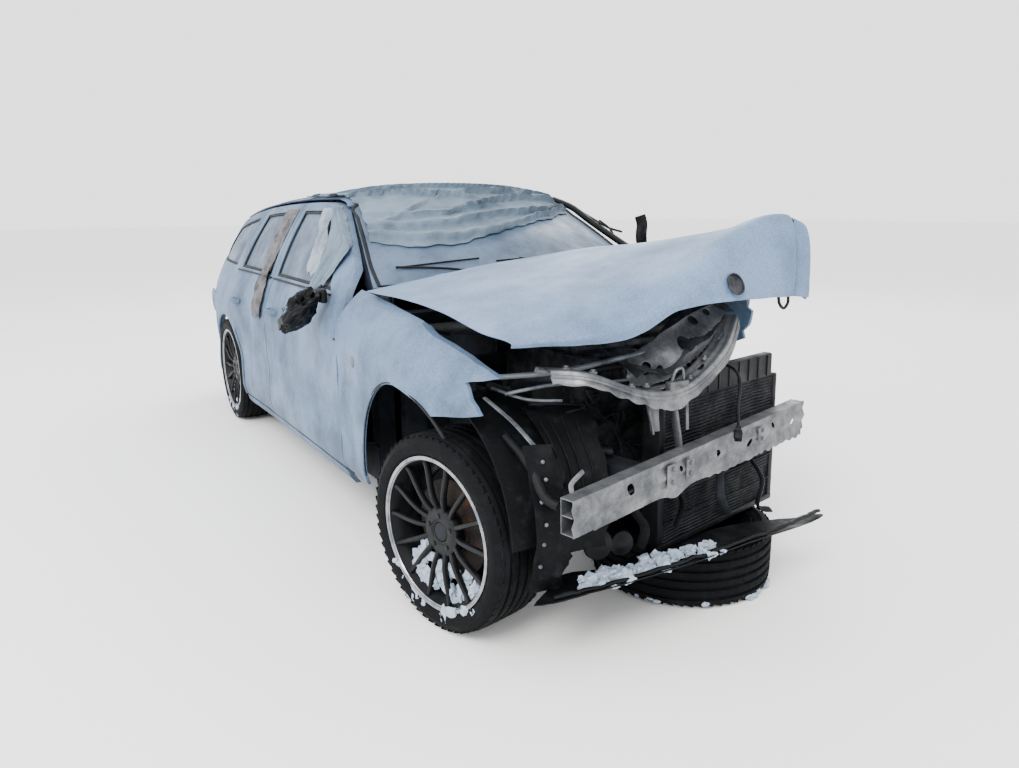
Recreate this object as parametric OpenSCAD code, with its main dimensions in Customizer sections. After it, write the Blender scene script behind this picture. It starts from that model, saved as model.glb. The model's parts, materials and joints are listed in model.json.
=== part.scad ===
/* [Body] */
// Distance between the front and rear axle lines
wheelbase = 2840; // [2400:10:3400]
// Width of the body over the doors
body_width = 1770; // [1500:10:2100]
// Height of the roof crown above the ground with the body level
roof_height = 1450; // [1260:5:1740]
// Body behind the rear axle line
rear_overhang = 1070; // [900:10:1280]
// How far the wheel arches stand out of the door line
arch_flare = 20; // [10:1:24]
// Radius of the wheel arch openings
arch_radius = 372; // [350:1:440]
// Front shut line of the front doors, behind the front axle
front_door_start = 650; // [600:5:780]
// Shut line between front and rear doors, behind the front axle
door_split = 1840; // [1600:5:2000]
// Shut line behind the rear doors, ahead of the rear axle
rear_door_end = 190; // [160:5:240]
// Thickness of a door below its window
door_thickness = 108; // [80:1:125]
// Thickness of the frame round a door window
frame_thickness = 34; // [24:1:40]
// Thickness of the outer panels of the wings
panel_thickness = 14; // [8:1:20]
// Thickness of the roof with its lining
roof_thickness = 30; // [20:1:36]
// Thickness of the glass
glass_thickness = 6; // [4:0.5:8]
// Gap along the shut lines
shut_gap = 12; // [9:0.5:14]

/* [Stance] */
// Angle by which the nose stands higher than level
nose_up = 1.45; // [1:0.05:2]
// Angle by which the front right wheel is turned to the left
steer_rest = 13; // [0:1:20]
// How far the front right wheel is pushed forward of its axle line
wheel_shift = 210; // [180:5:240]

/* [Wheels] */
// Radius of the tyres
tyre_radius = 331.5; // [310:0.5:345]
// Half of the width of a tyre
tyre_half = 112; // [104:1:118]
// Radius of the rim flange
rim_radius = 259; // [220:1:270]
// Half of the width of a rim
rim_half = 104; // [92:1:106]
// Spokes in a wheel
spokes = 14; // [10:1:18]
// Width of a spoke
spoke_width = 15; // [10:1:20]
// Distance between the middle planes of the rear tyres
rear_track = 1570; // [1480:5:1650]
// Distance of the front tyre's middle plane from the centre line
front_half_track = 794; // [740:1:840]
// Radius of the stub shafts in the wheel carriers
stub_radius = 20; // [15:0.5:24]
// Running clearance of the stub shafts and kingpins
run_gap = 0.4; // [0.3:0.1:0.8]

/* [Crash damage] */
// Length of the bumper beam
beam_length = 1296; // [1080:4:1400]
// Angle by which the front crossmembers are skewed
skew = 12; // [6:1:16]
// Height of the bumper beam
beam_height = 112; // [90:1:130]
// Depth of the bumper beam
beam_depth = 58; // [40:1:70]
// Width of the radiator pack
radiator_width = 740; // [620:10:820]
// Height of the radiator pack
radiator_height = 500; // [420:10:540]
// Depth of the radiator pack
radiator_depth = 70; // [50:1:84]

/* [Mounts] */
// Bolt circle of the hubs
hub_pcd = 112; // [100:1:120]
// Holes in a hub
hub_holes = 5; // [4:1:6]
// Radius of a hub bolt hole
hub_hole_r = 7; // [5:0.5:8]
// Radius of the hub spigot
spigot_r = 33.3; // [28:0.1:36]
// Radius of the towing eye socket
tow_r = 11; // [8:0.5:14]

/* [Hidden] */

half_width = body_width / 2;
tail_y = wheelbase + rear_overhang;
rear_door_back = wheelbase - rear_door_end;
front_reach = -791.5;
origin_y = (front_reach + tail_y) / 2;
tilt_pivot = [0, wheelbase, tyre_radius];
seal = 0.3;
steel = [0.62, 0.68, 0.76];
black = [0.12, 0.13, 0.16];
alloy = [0.68, 0.70, 0.73];
smoke = [0.55, 0.66, 0.80];
cloth_grey = [0.60, 0.68, 0.78];

// ---- surfaces of the body, as distances from the centre line and heights ----

function bump(v, middle, spread) = exp(-pow((v - middle) / spread, 2));
function mix(a, b, t) = a + (b - a) * t;

// Half width of the body at its widest height
function plan(y) = half_width + arch_flare * (bump(y, 0, 430) + bump(y, wheelbase, 430))
    - 160 * pow(max(0, (-y - 50) / 650), 1.6)
    - 300 * pow(max(0, (y - wheelbase - 210) / (rear_overhang - 210)), 2.2);
// How far the side leans in under and over its widest height
function lean(z) = z < 300 ? 60 * pow((300 - z) / 160, 1.5)
    : 8 * bump(z, 470, 70) + (z > 740 ? 58 * pow((z - 740) / 210, 1.6) : 0);
function belt(y) = 930 + 0.022 * (y - 600);

pillar_foot = [600, 975];
pillar_head = [1230, roof_height - 105];
function rail_z(y) = y < pillar_head[0]
    ? mix(pillar_foot[1], pillar_head[1], (y - pillar_foot[0]) / (pillar_head[0] - pillar_foot[0]))
    : min(pillar_head[1] + 0.2 * (y - pillar_head[0]),
        roof_height - 70 - 78 * pow(abs(y - 2000) / (tail_y - 2410), 2.2));
rail_half = half_width - 285;
function rail_x(y) = rail_half + (y < pillar_head[0] ? 0.25 * (pillar_head[0] - y) : 0)
    - 45 * pow(max(0, (y - 2300) / (tail_y - 2610)), 2);
function side_x(y, z) = z <= belt(y) ? plan(y) - lean(z)
    : let (t = min(1.1, (z - belt(y)) / max(1, rail_z(y) - belt(y))))
        mix(plan(y) - lean(belt(y)), rail_x(y), t) + 14 * sin(180 * min(1, t));
function crown_z(y) = roof_height
    - (y < 1800 ? 60 * pow((1800 - y) / 700, 2) : 100 * pow((y - 1800) / (tail_y - 2210), 2));
function roof_z(x, y) = crown_z(y) - (crown_z(y) - rail_z(y)) * pow(abs(x) / rail_x(y), 2.4);

header_y = 1130;
function header(x) = header_y + 70 * pow(x / rail_half, 2);
cowl_y = 440;
cowl_half = half_width - 165;
function screen_half(t) = mix(cowl_half, rail_half - 14, t);
// Point of the windscreen's outer face, u across from -1 to 1, t up from 0 to 1
function screen(u, t) = let (x = u * screen_half(t),
    low = [cowl_y + 175 * u * u, 1000 - 18 * u * u],
    high = [header(0.96 * x) - 4, roof_z(x, header(0.96 * x)) - 3])
    [x, mix(low[0], high[0], t) - 26 * sin(180 * t) * (1 - u * u), mix(low[1], high[1], t) + 22 * sin(180 * t)];

wing_tip = -530;
function wing_top(y) = 975 - 0.09 * (600 - y) - 60 * pow((600 - y) / 1130, 3);
function wing_x(y, z) = plan(y) - (z < 300 ? lean(z) : 0)
    - 125 * pow(max(0, (z - wing_top(y) + 180) / 180), 2);

roof_back = tail_y - 430;
gate_low = 632;
gate_waist = 980;
gate_half = half_width - 325;
gate_gap = 12;
function tail_curve(x) = 70 * pow(abs(x) / 560, 2.4);
function roof_back_y(x) = roof_back - tail_curve(x);
// Point of the tailgate's outer face, u across from -1 to 1, t up from 0 to 1
function gate(u, t) = let (s = max(0, 2 * t - 1), x = u * (gate_half - 40 * s),
    z = t < 0.5 ? mix(gate_low, gate_waist, 2 * t) : mix(gate_waist, roof_z(x, roof_back_y(x)) - 4, s))
    [x, tail_y - 50 - (tail_y - 50 - roof_back - gate_gap) * pow(s, 1.25) - tail_curve(x), z];
// Height on the tailgate as a share of its face, for a height over the waist or under it
function gate_share(z) = z < gate_waist ? 0.5 * (z - gate_low) / (gate_waist - gate_low)
    : 0.5 + 0.5 * (z - gate_waist) / (roof_z(gate_half - 40, roof_back_y(gate_half - 40)) - 4 - gate_waist);
function quarter_back(z) = lookup(z, [[gate_low, tail_y - 96], [gate_waist, tail_y - 126],
    [gate_waist + 200, tail_y - 262], [rail_z(roof_back - 40), roof_back - 40]]);

// Control points of the buckled bonnet's outer face: rows run from the windscreen
// to the nose, each row from the right edge to the left
bonnet_rows = [
    [[-800, 485, 990], [-550, 445, 1030], [-300, 415, 1072], [20, 400, 1100], [330, 410, 1080], [590, 440, 1020], [730, 470, 975]],
    [[-802, 170, 986], [-552, 160, 1032], [-262, 140, 1088], [45, 130, 1138], [335, 140, 1108], [580, 170, 1034], [715, 200, 970]],
    [[-805, -180, 968], [-560, -170, 1020], [-270, -170, 1084], [60, -170, 1160], [320, -160, 1150], [530, -120, 1082], [620, -80, 992]],
    [[-792, -410, 925], [-550, -470, 966], [-280, -490, 1056], [68, -450, 1186], [300, -450, 1210], [455, -420, 1132], [500, -380, 1022]],
    [[-762, -525, 905], [-500, -632, 930], [-252, -655, 1020], [80, -615, 1200], [290, -605, 1236], [425, -580, 1186], [466, -555, 1082]],
    [[-756, -530, 886], [-440, -650, 896], [-242, -672, 975], [10, -690, 988], [220, -690, 984], [396, -630, 974], [462, -570, 1000]]];
bonnet_thickness = 16;

// ---- solids made of two matching grids of points ----

function flat(rows) = [for (row = rows) for (point = row) point];
module slab(outer, inner) {
    n = len(outer);
    m = len(outer[0]);
    back = n * m;
    function at(i, j) = i * m + j;
    faces = concat(
        [for (i = [0:n - 2]) for (j = [0:m - 2]) each [
            [at(i, j), at(i, j + 1), at(i + 1, j + 1)],
            [at(i, j), at(i + 1, j + 1), at(i + 1, j)],
            [back + at(i, j), back + at(i + 1, j + 1), back + at(i, j + 1)],
            [back + at(i, j), back + at(i + 1, j), back + at(i + 1, j + 1)]]],
        [for (i = [0:n - 2]) each [
            [at(i, 0), at(i + 1, 0), back + at(i + 1, 0)],
            [at(i, 0), back + at(i + 1, 0), back + at(i, 0)],
            [at(i + 1, m - 1), at(i, m - 1), back + at(i, m - 1)],
            [at(i + 1, m - 1), back + at(i, m - 1), back + at(i + 1, m - 1)]]],
        [for (j = [0:m - 2]) each [
            [at(0, j + 1), at(0, j), back + at(0, j)],
            [at(0, j + 1), back + at(0, j), back + at(0, j + 1)],
            [at(n - 1, j), at(n - 1, j + 1), back + at(n - 1, j + 1)],
            [at(n - 1, j), back + at(n - 1, j + 1), back + at(n - 1, j)]]]);
    polyhedron(concat(flat(outer), flat(inner)), faces);
}

// Shell of the left side between two depths below its outer face, its rows
// running from z0 to the belt and from there to just over the roof rail
module side_shell(y0, y1, z0, near, far, ny = 12, low = 9, high = 7) {
    ys = [for (i = [0:ny]) mix(y0, y1, i / ny)];
    function rows(y) = concat([for (j = [0:low]) mix(z0, belt(y), j / low)],
        [for (j = [1:high]) mix(belt(y), rail_z(y) + 12, j / high)]);
    slab([for (y = ys) [for (z = rows(y)) [side_x(y, z) - near, y, z]]],
        [for (y = ys) [for (z = rows(y)) [side_x(y, z) - far, y, z]]]);
}
// The same below the belt only
module low_shell(y0, y1, z0, top, near, far, ny = 6, nz = 6) {
    ys = [for (i = [0:ny]) mix(y0, y1, i / ny)];
    zs = [for (j = [0:nz]) mix(z0, top, j / nz)];
    slab([for (y = ys) [for (z = zs) [side_x(y, z) - near, y, z]]],
        [for (y = ys) [for (z = zs) [side_x(y, z) - far, y, z]]]);
}
module wing_shell(y0, y1, z0, thickness) {
    ys = [for (i = [0:12]) mix(y0, y1, i / 12)];
    slab([for (y = ys) [for (j = [0:12]) let (z = mix(z0, wing_top(y), j / 12)) [wing_x(y, z), y, z]]],
        [for (y = ys) [for (j = [0:12]) let (z = mix(z0, wing_top(y), j / 12))
            [wing_x(y, z) - thickness, y, z - (j == 12 ? 6 : 0)]]]);
}
// Prism across the car whose outline is given as distance back and height
module across(x0, x1) {
    translate([x0, 0, 0]) rotate([90, 0, 90]) linear_extrude(height = x1 - x0) children();
}
module both() {
    children();
    mirror([1, 0, 0]) children();
}
// Places a piece of the body, which stands nose up on the rear axle
module body_frame() {
    translate([0, -origin_y, 0]) translate(tilt_pivot) rotate([-nose_up, 0, 0])
        translate(-tilt_pivot) children();
}
module ground_frame() {
    translate([0, -origin_y, 0]) children();
}
module bar(a, b, size) {
    hull() {
        translate(a) cube(size, center = true);
        translate(b) cube(size, center = true);
    }
}
module tube(a, b, r) {
    d = b - a;
    l = norm(d);
    translate(a) rotate([0, acos(d[2] / l), atan2(d[1], d[0])]) cylinder(r = r, h = l, $fn = 32);
}

// ---- outlines on the side, as distance back and height ----

sill_z = 235;
module front_door_outline() {
    top = [for (y = [760:118:door_split]) [y, rail_z(y) - 20]];
    polygon(concat([[front_door_start, sill_z], [front_door_start, belt(front_door_start) - 6]], top,
        [[door_split - shut_gap / 2, rail_z(door_split) - 20], [door_split - shut_gap / 2, sill_z]]));
}
module front_window() {
    low = 26;
    polygon(concat([[860, belt(860) + low], [905, belt(905) + low + 28]],
        [for (y = [990:110:1740]) [y, rail_z(y) - 60]],
        [[door_split - 72, rail_z(door_split) - 62], [door_split - 60, belt(door_split) + low]]));
}
module rear_door_outline() {
    difference() {
        polygon(concat([[door_split + shut_gap / 2, sill_z]],
            [for (i = [0:6]) let (y = mix(door_split + shut_gap / 2, rear_door_back, i / 6)) [y, rail_z(y) - 20]],
            [[rear_door_back, 500], [rear_door_back - 60, sill_z]]));
        translate([wheelbase, tyre_radius]) circle(r = arch_radius + 48, $fn = 48);
    }
}
module rear_window() {
    low = 26;
    polygon(concat([[door_split + 62, belt(door_split) + low]],
        [for (i = [0:5]) let (y = mix(door_split + 70, rear_door_back - 120, i / 5)) [y, rail_z(y) - 60]],
        [[rear_door_back - 66, belt(rear_door_back) + low]]));
}
module quarter_outline() {
    y0 = rear_door_back + shut_gap;
    difference() {
        polygon(concat([[y0 - 70 - shut_gap, sill_z], [y0, 500]],
            [for (i = [0:6]) let (y = mix(y0, roof_back - 40, i / 6)) [y, rail_z(y) - 20]],
            [for (z = [gate_waist + 200, gate_waist, gate_low]) [quarter_back(z), z]], [[tail_y - 320, 600],
                [wheelbase + 420, sill_z + 60], [wheelbase + 300, sill_z]]));
        translate([wheelbase, tyre_radius]) circle(r = arch_radius, $fn = 64);
        rear_door_gap();
        quarter_window();
    }
}
module rear_door_gap() {
    intersection() {
        translate([wheelbase, tyre_radius]) circle(r = arch_radius + 48 + shut_gap, $fn = 48);
        translate([wheelbase - 700, 0]) square([700 - rear_door_end, 500]);
        difference() {
            square([wheelbase * 2, 1000]);
            translate([wheelbase, tyre_radius]) circle(r = arch_radius + 48, $fn = 48);
        }
    }
}
module quarter_window() {
    y0 = rear_door_back + 70;
    polygon([[y0, belt(y0) + 30], [y0, rail_z(y0) - 66], [y0 + 300, rail_z(y0 + 300) - 66],
        [tail_y - 560, rail_z(tail_y - 560) - 78], [tail_y - 420, belt(tail_y) + 52], [tail_y - 440, belt(tail_y) + 34]]);
}

// ---- fixed body ----

frame_depth = door_thickness + 12;
sill_x = half_width - frame_depth - 52;
pillar_x = half_width - frame_depth - 48;
belt_x = half_width - frame_depth - 82;
floor_z = 165;
floor_sheet = 30;
load_z = 410;
tunnel_half = 140;
tunnel_z = 335;
wall_y = 500;
heel_y = wheelbase - 540;
module floor_pan() {
    half = sill_x - 45 - seal;
    back = tail_y - 260;
    color(steel) body_frame() difference() {
        union() {
            translate([-half, wall_y, floor_z]) cube([2 * half, heel_y - wall_y, floor_sheet]);
            translate([-half, heel_y - floor_sheet, floor_z]) cube([2 * half, floor_sheet, load_z - floor_z + floor_sheet]);
            translate([-470, heel_y - floor_sheet, load_z]) cube([940, back - heel_y + floor_sheet, floor_sheet]);
            translate([-tunnel_half, wall_y, floor_z]) cube([2 * tunnel_half, heel_y - wall_y, tunnel_z - floor_z]);
            both() translate([460, wheelbase + 440, load_z]) cube([150, back - wheelbase - 440, floor_sheet]);
        }
        translate([-tunnel_half + 40, wall_y - 20, 100]) cube([2 * tunnel_half - 80, heel_y - wall_y + 40, tunnel_z - 145]);
    }
}
hinge_pin = 6;
hinge_play = 0.5;
hinge_z = [330, 760];
hinge_inset = 20;
front_hinge = [half_width - hinge_inset, front_door_start + 30];
rear_hinge = [half_width - hinge_inset, door_split + shut_gap / 2 + 30];
// Fixed arm of a door hinge, from its pillar to the pin
module hinge_arm(at, root) {
    difference() {
        hull() {
            translate(at) cylinder(r = 11, h = 14, center = true, $fn = 48);
            translate(root) cube([20, 20, 14], center = true);
        }
        translate(at) cylinder(r = hinge_pin + hinge_play, h = 40, center = true, $fn = 48);
    }
}
module side_frames() {
    function inside(y, below, d) = [side_x(y, rail_z(y) - below) - d, y, rail_z(y) - below];
    rail_d = frame_thickness + 46;
    rail = [44, 50, 44];
    c_y = rear_door_back + 10;
    color(steel) body_frame() both() {
        bar([sill_x, 600, 250], [sill_x, wheelbase - 540, 250], [90, 90, 150]);
        bar([pillar_x, front_door_start - 60, 250], [pillar_x, front_door_start - 60, 850], [70, 84, 60]);
        bar([pillar_x, front_door_start - 60, 850], [belt_x, front_door_start - 50, 920], [60, 60, 48]);
        bar([belt_x, front_door_start - 50, 920], inside(800, 60, rail_d + 18), [44, 50, 48]);
        bar(inside(800, 60, rail_d + 18), inside(1230, 52, rail_d), rail);
        for (y = [[1230, 1680], [1680, 2130], [2130, 2580], [2580, tail_y - 910], [tail_y - 910, roof_back - 80]])
            bar(inside(y[0], 52, rail_d), inside(y[1], 52, rail_d), rail);
        bar([pillar_x, door_split, 280], [belt_x, door_split, 900], [60, 110, 60]);
        bar([belt_x, door_split, 890], inside(door_split, 52, rail_d), [44, 80, 44]);
        bar([belt_x, c_y, 760], [belt_x, c_y, 920], [60, 90, 60]);
        bar([belt_x, c_y, 910], inside(c_y, 52, rail_d), [44, 80, 44]);
        bar([belt_x, c_y, 760], [sill_x, heel_y + 110, 620], [60, 80, 60]);
        bar([sill_x, heel_y + 110, 620], [sill_x, heel_y + 70, 250], [60, 80, 60]);
        for (z = hinge_z) {
            hinge_arm([front_hinge[0], front_hinge[1], z], [pillar_x + 22, front_door_start - 30, z]);
            hinge_arm([rear_hinge[0], rear_hinge[1], z], [pillar_x + 16 - 0.05 * (z - 280), door_split + 36, z]);
        }
    }
}
module quarter_panels() {
    y0 = rear_door_back - 80;
    wall = 38;
    levels = concat([for (j = [0:4]) mix(gate_low, gate_waist, j / 4)],
        [for (j = [1:5]) mix(gate_waist, rail_z(roof_back - 40) - 24, j / 5)]);
    function edge(z) = [side_x(quarter_back(z), z) - 2, quarter_back(z), z];
    function jamb(z) = let (g = gate(1, gate_share(z))) [g[0] + gate_gap, g[1], z];
    color(steel) body_frame() both() {
        intersection() {
            side_shell(y0, tail_y - 90, 215, 0, wall, 14, 9, 8);
            across(300, half_width + 100) quarter_outline();
        }
        slab([for (z = levels) [jamb(z), mix(jamb(z), edge(z), 0.5) + [3, 3, 0], edge(z)]],
            [for (z = levels) [jamb(z) - [0, 22, 0], mix(jamb(z), edge(z), 0.5) + [-12, -16, 0], edge(z) - [24, 16, 0]]]);
    }
}
gate_hinge = [300, roof_back_y(300) + 10, roof_z(300, roof_back) - 1];
module roof() {
    us = [for (i = [0:12]) mix(-1, 1, i / 12)];
    ts = [for (j = [0:10]) j / 10];
    function cell(u, t, s) = let (x0 = u * s * rail_half, y = mix(header(x0), roof_back_y(x0), t), x = u * s * (rail_x(y) - 2))
        [x, y, roof_z(x, y)];
    color(steel) body_frame() {
        slab([for (u = us) [for (t = ts) cell(u, t, 1)]],
            [for (u = us) [for (t = ts) cell(u, t, 0.985) - [0, 0, roof_thickness * (1 - 0.72 * abs(u))]]]);
        both() {
            translate([side_x(2130, rail_z(2130) - 52) - frame_thickness - 61, 2110, rail_z(2130) - 30 + seal]) cube([30, 40, 34]);
            translate(gate_hinge + [1, -34, -19]) cube([8, 42, 20]);
            translate(gate_hinge + [-15, 0, 0]) rotate([0, 90, 0]) cylinder(r = hinge_pin - 1, h = 20, $fn = 48);
        }
    }
}
module fixed_glass() {
    us = [for (i = [0:10]) mix(-1, 1, i / 10)];
    ts = [for (i = [0:6]) i / 6];
    color(smoke) body_frame() {
        slab([for (u = us) [for (t = ts) screen(u, t)]],
            [for (u = us) [for (t = ts) screen(u * 0.995, t) - [0, -0.5, 0.86] * glass_thickness]]);
        both() intersection() {
            side_shell(rear_door_back, tail_y - 380, 880, 12, 12 + glass_thickness, 6, 1, 7);
            across(300, half_width + 100) offset(delta = -seal) quarter_window();
        }
    }
}
module rear_bumper() {
    xs = [for (i = [0:14]) mix(-1, 1, i / 14)];
    zs = [250, 290, 340, 440, 540, 600, 612];
    half = 700;
    function face(u, z) = let (x = u * half) [x, tail_y - 12 - tail_curve(x) - 30 * pow(abs(z - 430) / 180, 2)
        - 130 * pow(abs(u), 5), z];
    color(black) body_frame() slab([for (z = zs) [for (u = xs) face(u, z)]],
        [for (z = zs) [for (u = xs) face(u * 0.97, z) - [0, 60, 0]]]);
    color(black) body_frame() both() translate([380, tail_y - 260 + seal, load_z]) cube([50, 160, floor_sheet]);
}
module tail_lamps() {
    us = [for (i = [0:4]) mix(0.66, 0.97, i / 4)];
    ts = [for (j = [0:3]) mix(0.24, 0.44, j / 3)];
    color([0.45, 0.12, 0.14]) body_frame() both() slab([for (t = ts) [for (u = us) gate(u, t) + [0, 12, 0]]],
        [for (t = ts) [for (u = us) gate(u, t) + [0, 0.6, 0]]]);
}
bonnet_hinge = [-690, 480, 982];
bonnet_hinge_left = 600;
module bulkhead() {
    half = half_width - 210;
    color(black) body_frame() {
        difference() {
            translate([-half, wall_y - 30, floor_z]) cube([2 * half, 30, 890 - floor_z]);
            translate([-tunnel_half + 40, wall_y - 60, 100]) cube([2 * tunnel_half - 80, 90, tunnel_z - 145]);
        }
        translate([-half, wall_y - 60, 860]) cube([2 * half, 110, 30]);
        both() translate([half_width - 300, wall_y - 60, 300]) cube([90, 31, 560]);
        for (x = [bonnet_hinge[0] - 17, bonnet_hinge_left + 11])
            translate([x, bonnet_hinge[1] - 12, 880]) cube([6, 24, bonnet_hinge[2] - 876]);
        translate([bonnet_hinge[0] - 12, bonnet_hinge[1], bonnet_hinge[2]]) rotate([0, 90, 0])
            cylinder(r = hinge_pin - 1, h = 22, $fn = 48);
        translate([bonnet_hinge_left - 10, bonnet_hinge[1], bonnet_hinge[2]]) rotate([0, 90, 0])
            cylinder(r = hinge_pin - 1, h = 22, $fn = 48);
        translate([bonnet_hinge[0] - 17, bonnet_hinge[1] - 12, 870]) cube([40, 24, 20]);
    }
}
rail_top = 500;
tower = [560, 60];
strut = [530, 100];
module front_rails() {
    color(steel) {
        body_frame() {
            translate([-470, -380, rail_top - 110]) cube([70, 849.7, 110]);
            translate([400, -300, rail_top - 110]) cube([70, 769.7, 110]);
            both() {
                translate([470, 60, rail_top - 60]) cube([84, 80, 60]);
                translate([strut[0], strut[1], rail_top - 60]) cylinder(r = 24, h = 345, $fn = 32);
                translate([tower[0], tower[1], 780]) cylinder(r = 84, h = 70, $fn = 48);
                translate([590, 100, 790]) cube([50, 339.7, 40]);
            }
        }
        skewed() {
            translate([-340, beam_depth / 2 + seal, 430]) cube([90, 290, 66]);
            translate([598, beam_depth / 2 + seal, 472]) cube([44, 200, 28]);
        }
    }
}
module front_arch() {
    translate([0, tyre_radius]) circle(r = arch_radius, $fn = 64);
}
module wing_right() {
    end = front_door_start - shut_gap;
    color(steel) body_frame() mirror([1, 0, 0]) difference() {
        intersection() {
            wing_shell(wing_tip, end, 240, panel_thickness);
            across(300, half_width + 100) polygon([[wing_tip - 5, 770], [wing_tip - 5, 900], [0, 1100], [end + 5, 1100],
                [end + 5, 245], [250, 245], [0, 600], [-290, 640], [-462, 690], [-405, 775]]);
        }
        across(300, half_width + 100) front_arch();
    }
    color(steel) body_frame() mirror([1, 0, 0]) wing_bracket();
}
module wing_bracket() {
    translate([pillar_x + 35 + seal, front_door_start - 55, 640]) cube([plan(front_door_start) - pillar_x - 43, 20, 40]);
}
module wing_left() {
    end = front_door_start - shut_gap;
    color(steel) body_frame() difference() {
        intersection() {
            wing_shell(20, end, 240, panel_thickness);
            across(300, half_width + 100) polygon([[60, 800], [20, 880], [75, 1100], [end + 5, 1100], [end + 5, 245],
                [250, 245], [250, 500], [105, 690]]);
        }
        across(300, half_width + 100) front_arch();
    }
    color(steel) body_frame() wing_bracket();
}
// Ring sector across the car round a wheel, angles from the front upwards
module arch_band(x0, x1, middle, r, thickness, a0, a1) {
    across(x0, x1) translate(middle) rotate(180 - a1) difference() {
        circle(r = r + thickness, $fn = 64);
        circle(r = r, $fn = 64);
        rotate(a1 - a0) translate([-2 * r, 0]) square([4 * r, 2 * r]);
        translate([-2 * r, -2 * r]) square([4 * r, 2 * r]);
    }
}
module arch_liners() {
    color(black) {
        ground_frame() {
            mirror([1, 0, 0]) arch_band(490, 800, [-wheel_shift + 20, 350], 400, 7, 5, 118);
        }
        body_frame() {
            translate([-strut[0] - 15, -30, 634]) cube([30, strut[1] + 6 - seal, 18]);
            both() arch_band(470 + seal, half_width - 48, [wheelbase, tyre_radius], arch_radius + 6, 8, 8, 172);
        }
    }
}
subframe_z = 2 * tyre_half + seal;
module engine_block() {
    color(black) {
        body_frame() translate([-270, -230, 270]) cube([540, 600, 490]);
        ground_frame() for (x = [-200, 200]) for (y = [-225, 205])
            translate([x, y, subframe_z + 80 + seal]) cylinder(r = 28, h = 60, $fn = 32);
    }
}

// ---- running gear ----

arm_z = [-125, 150];
kingpin = [-(front_half_track - 69), -wheel_shift, tyre_radius];
pin_r = 9;
module front_subframe() {
    module arm(root, level) {
        difference() {
            union() {
                for (r = root) bar(r, kingpin + [28, 6, level], [30, 36, 18]);
                translate(kingpin + [0, 0, level - 9]) cylinder(r = 22, h = 18, $fn = 48);
            }
            translate(kingpin + [0, 0, level - 20]) cylinder(r = pin_r + run_gap, h = 40, $fn = 48);
        }
    }
    color(black) ground_frame() {
        for (y = [-260, 180]) translate([-380, y, subframe_z]) cube([760, 60, 80]);
        both() translate([320, -260, subframe_z]) cube([60, 500, 80]);
        arm([[-360, -200, subframe_z + 26], [-360, 0, subframe_z + 26]], arm_z[0]);
        arm([[-470 - 15 - seal, -90, kingpin[2] + arm_z[1] + 52]], arm_z[1]);
    }
}
// Steering frame of the front right wheel, turned about its kingpin
module steered() {
    ground_frame() translate(kingpin) rotate([0, 0, steer_rest]) children();
}
wheel_in = 69;
module knuckle_right() {
    color(alloy) steered() difference() {
        union() {
            translate([-14, -30, arm_z[0] + 12]) cube([28, 60, arm_z[1] - arm_z[0] - 24]);
            translate([-46, 0, 0]) rotate([0, 90, 0]) cylinder(r = 48, h = 60, $fn = 48);
            translate([0, 0, arm_z[0] - 12]) cylinder(r = pin_r, h = arm_z[1] - arm_z[0] + 24, $fn = 48);
            translate([-12, 30, -30]) cube([20, 90, 40]);
        }
        translate([-80, 0, 0]) rotate([0, 90, 0]) cylinder(r = stub_radius + run_gap, h = 160, $fn = 48);
    }
}
// Wheel round the Z axis with its outer face up and its middle plane at zero
module rim() {
    bed = rim_radius - 19;
    rotate_extrude($fn = 96) polygon([[bed - 12, -rim_half], [rim_radius, -rim_half], [rim_radius, -rim_half + 8],
        [bed, -rim_half + 9], [bed, rim_half - 9], [rim_radius, rim_half - 8], [rim_radius, rim_half], [bed - 12, rim_half]]);
    translate([0, 0, 42]) cylinder(r = 80, h = 34, $fn = 64);
    for (i = [0:spokes - 1]) rotate([0, 0, i * 360 / spokes])
        translate([70, -spoke_width / 2, 46]) cube([bed - 12 - 64, spoke_width, 34]);
}
module wheel_solid() {
    rim();
    translate([0, 0, -wheel_in - 26]) cylinder(r = stub_radius, h = wheel_in + 80, $fn = 48);
}
module tyre_solid() {
    bed = rim_radius - 19 + seal;
    bead = rim_half - 9 - 2 * seal;
    shoulder = 26;
    rotate_extrude($fn = 96) polygon(concat([[bed, -bead], [rim_radius + 1, -bead], [rim_radius + 8, -tyre_half + 4],
        [rim_radius + 28, -tyre_half]],
        [for (a = [0:15:90]) [tyre_radius - shoulder + shoulder * sin(a), -tyre_half + shoulder - shoulder * cos(a)]],
        [for (a = [90:-15:0]) [tyre_radius - shoulder + shoulder * sin(a), tyre_half - shoulder + shoulder * cos(a)]],
        [[rim_radius + 28, tyre_half], [rim_radius + 8, tyre_half - 4], [rim_radius + 1, bead], [bed, bead]]));
}
module front_right_place() {
    steered() translate([-wheel_in, 0, 0]) rotate([0, -90, 0]) children();
}
module front_wheel_right() {
    color(black) front_right_place() wheel_solid();
}
module front_tyre_right() {
    color([0.08, 0.08, 0.09]) front_right_place() tyre_solid();
}
module rear_place(side) {
    ground_frame() translate([side * rear_track / 2, wheelbase, tyre_radius]) rotate([0, side * 90, 0]) children();
}
module rear_wheel_right() {
    color(black) rear_place(-1) wheel_solid();
}
module rear_wheel_left() {
    color(black) rear_place(1) wheel_solid();
}
module rear_tyre_right() {
    color([0.08, 0.08, 0.09]) rear_place(-1) tyre_solid();
}
module rear_tyre_left() {
    color([0.08, 0.08, 0.09]) rear_place(1) tyre_solid();
}
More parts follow.
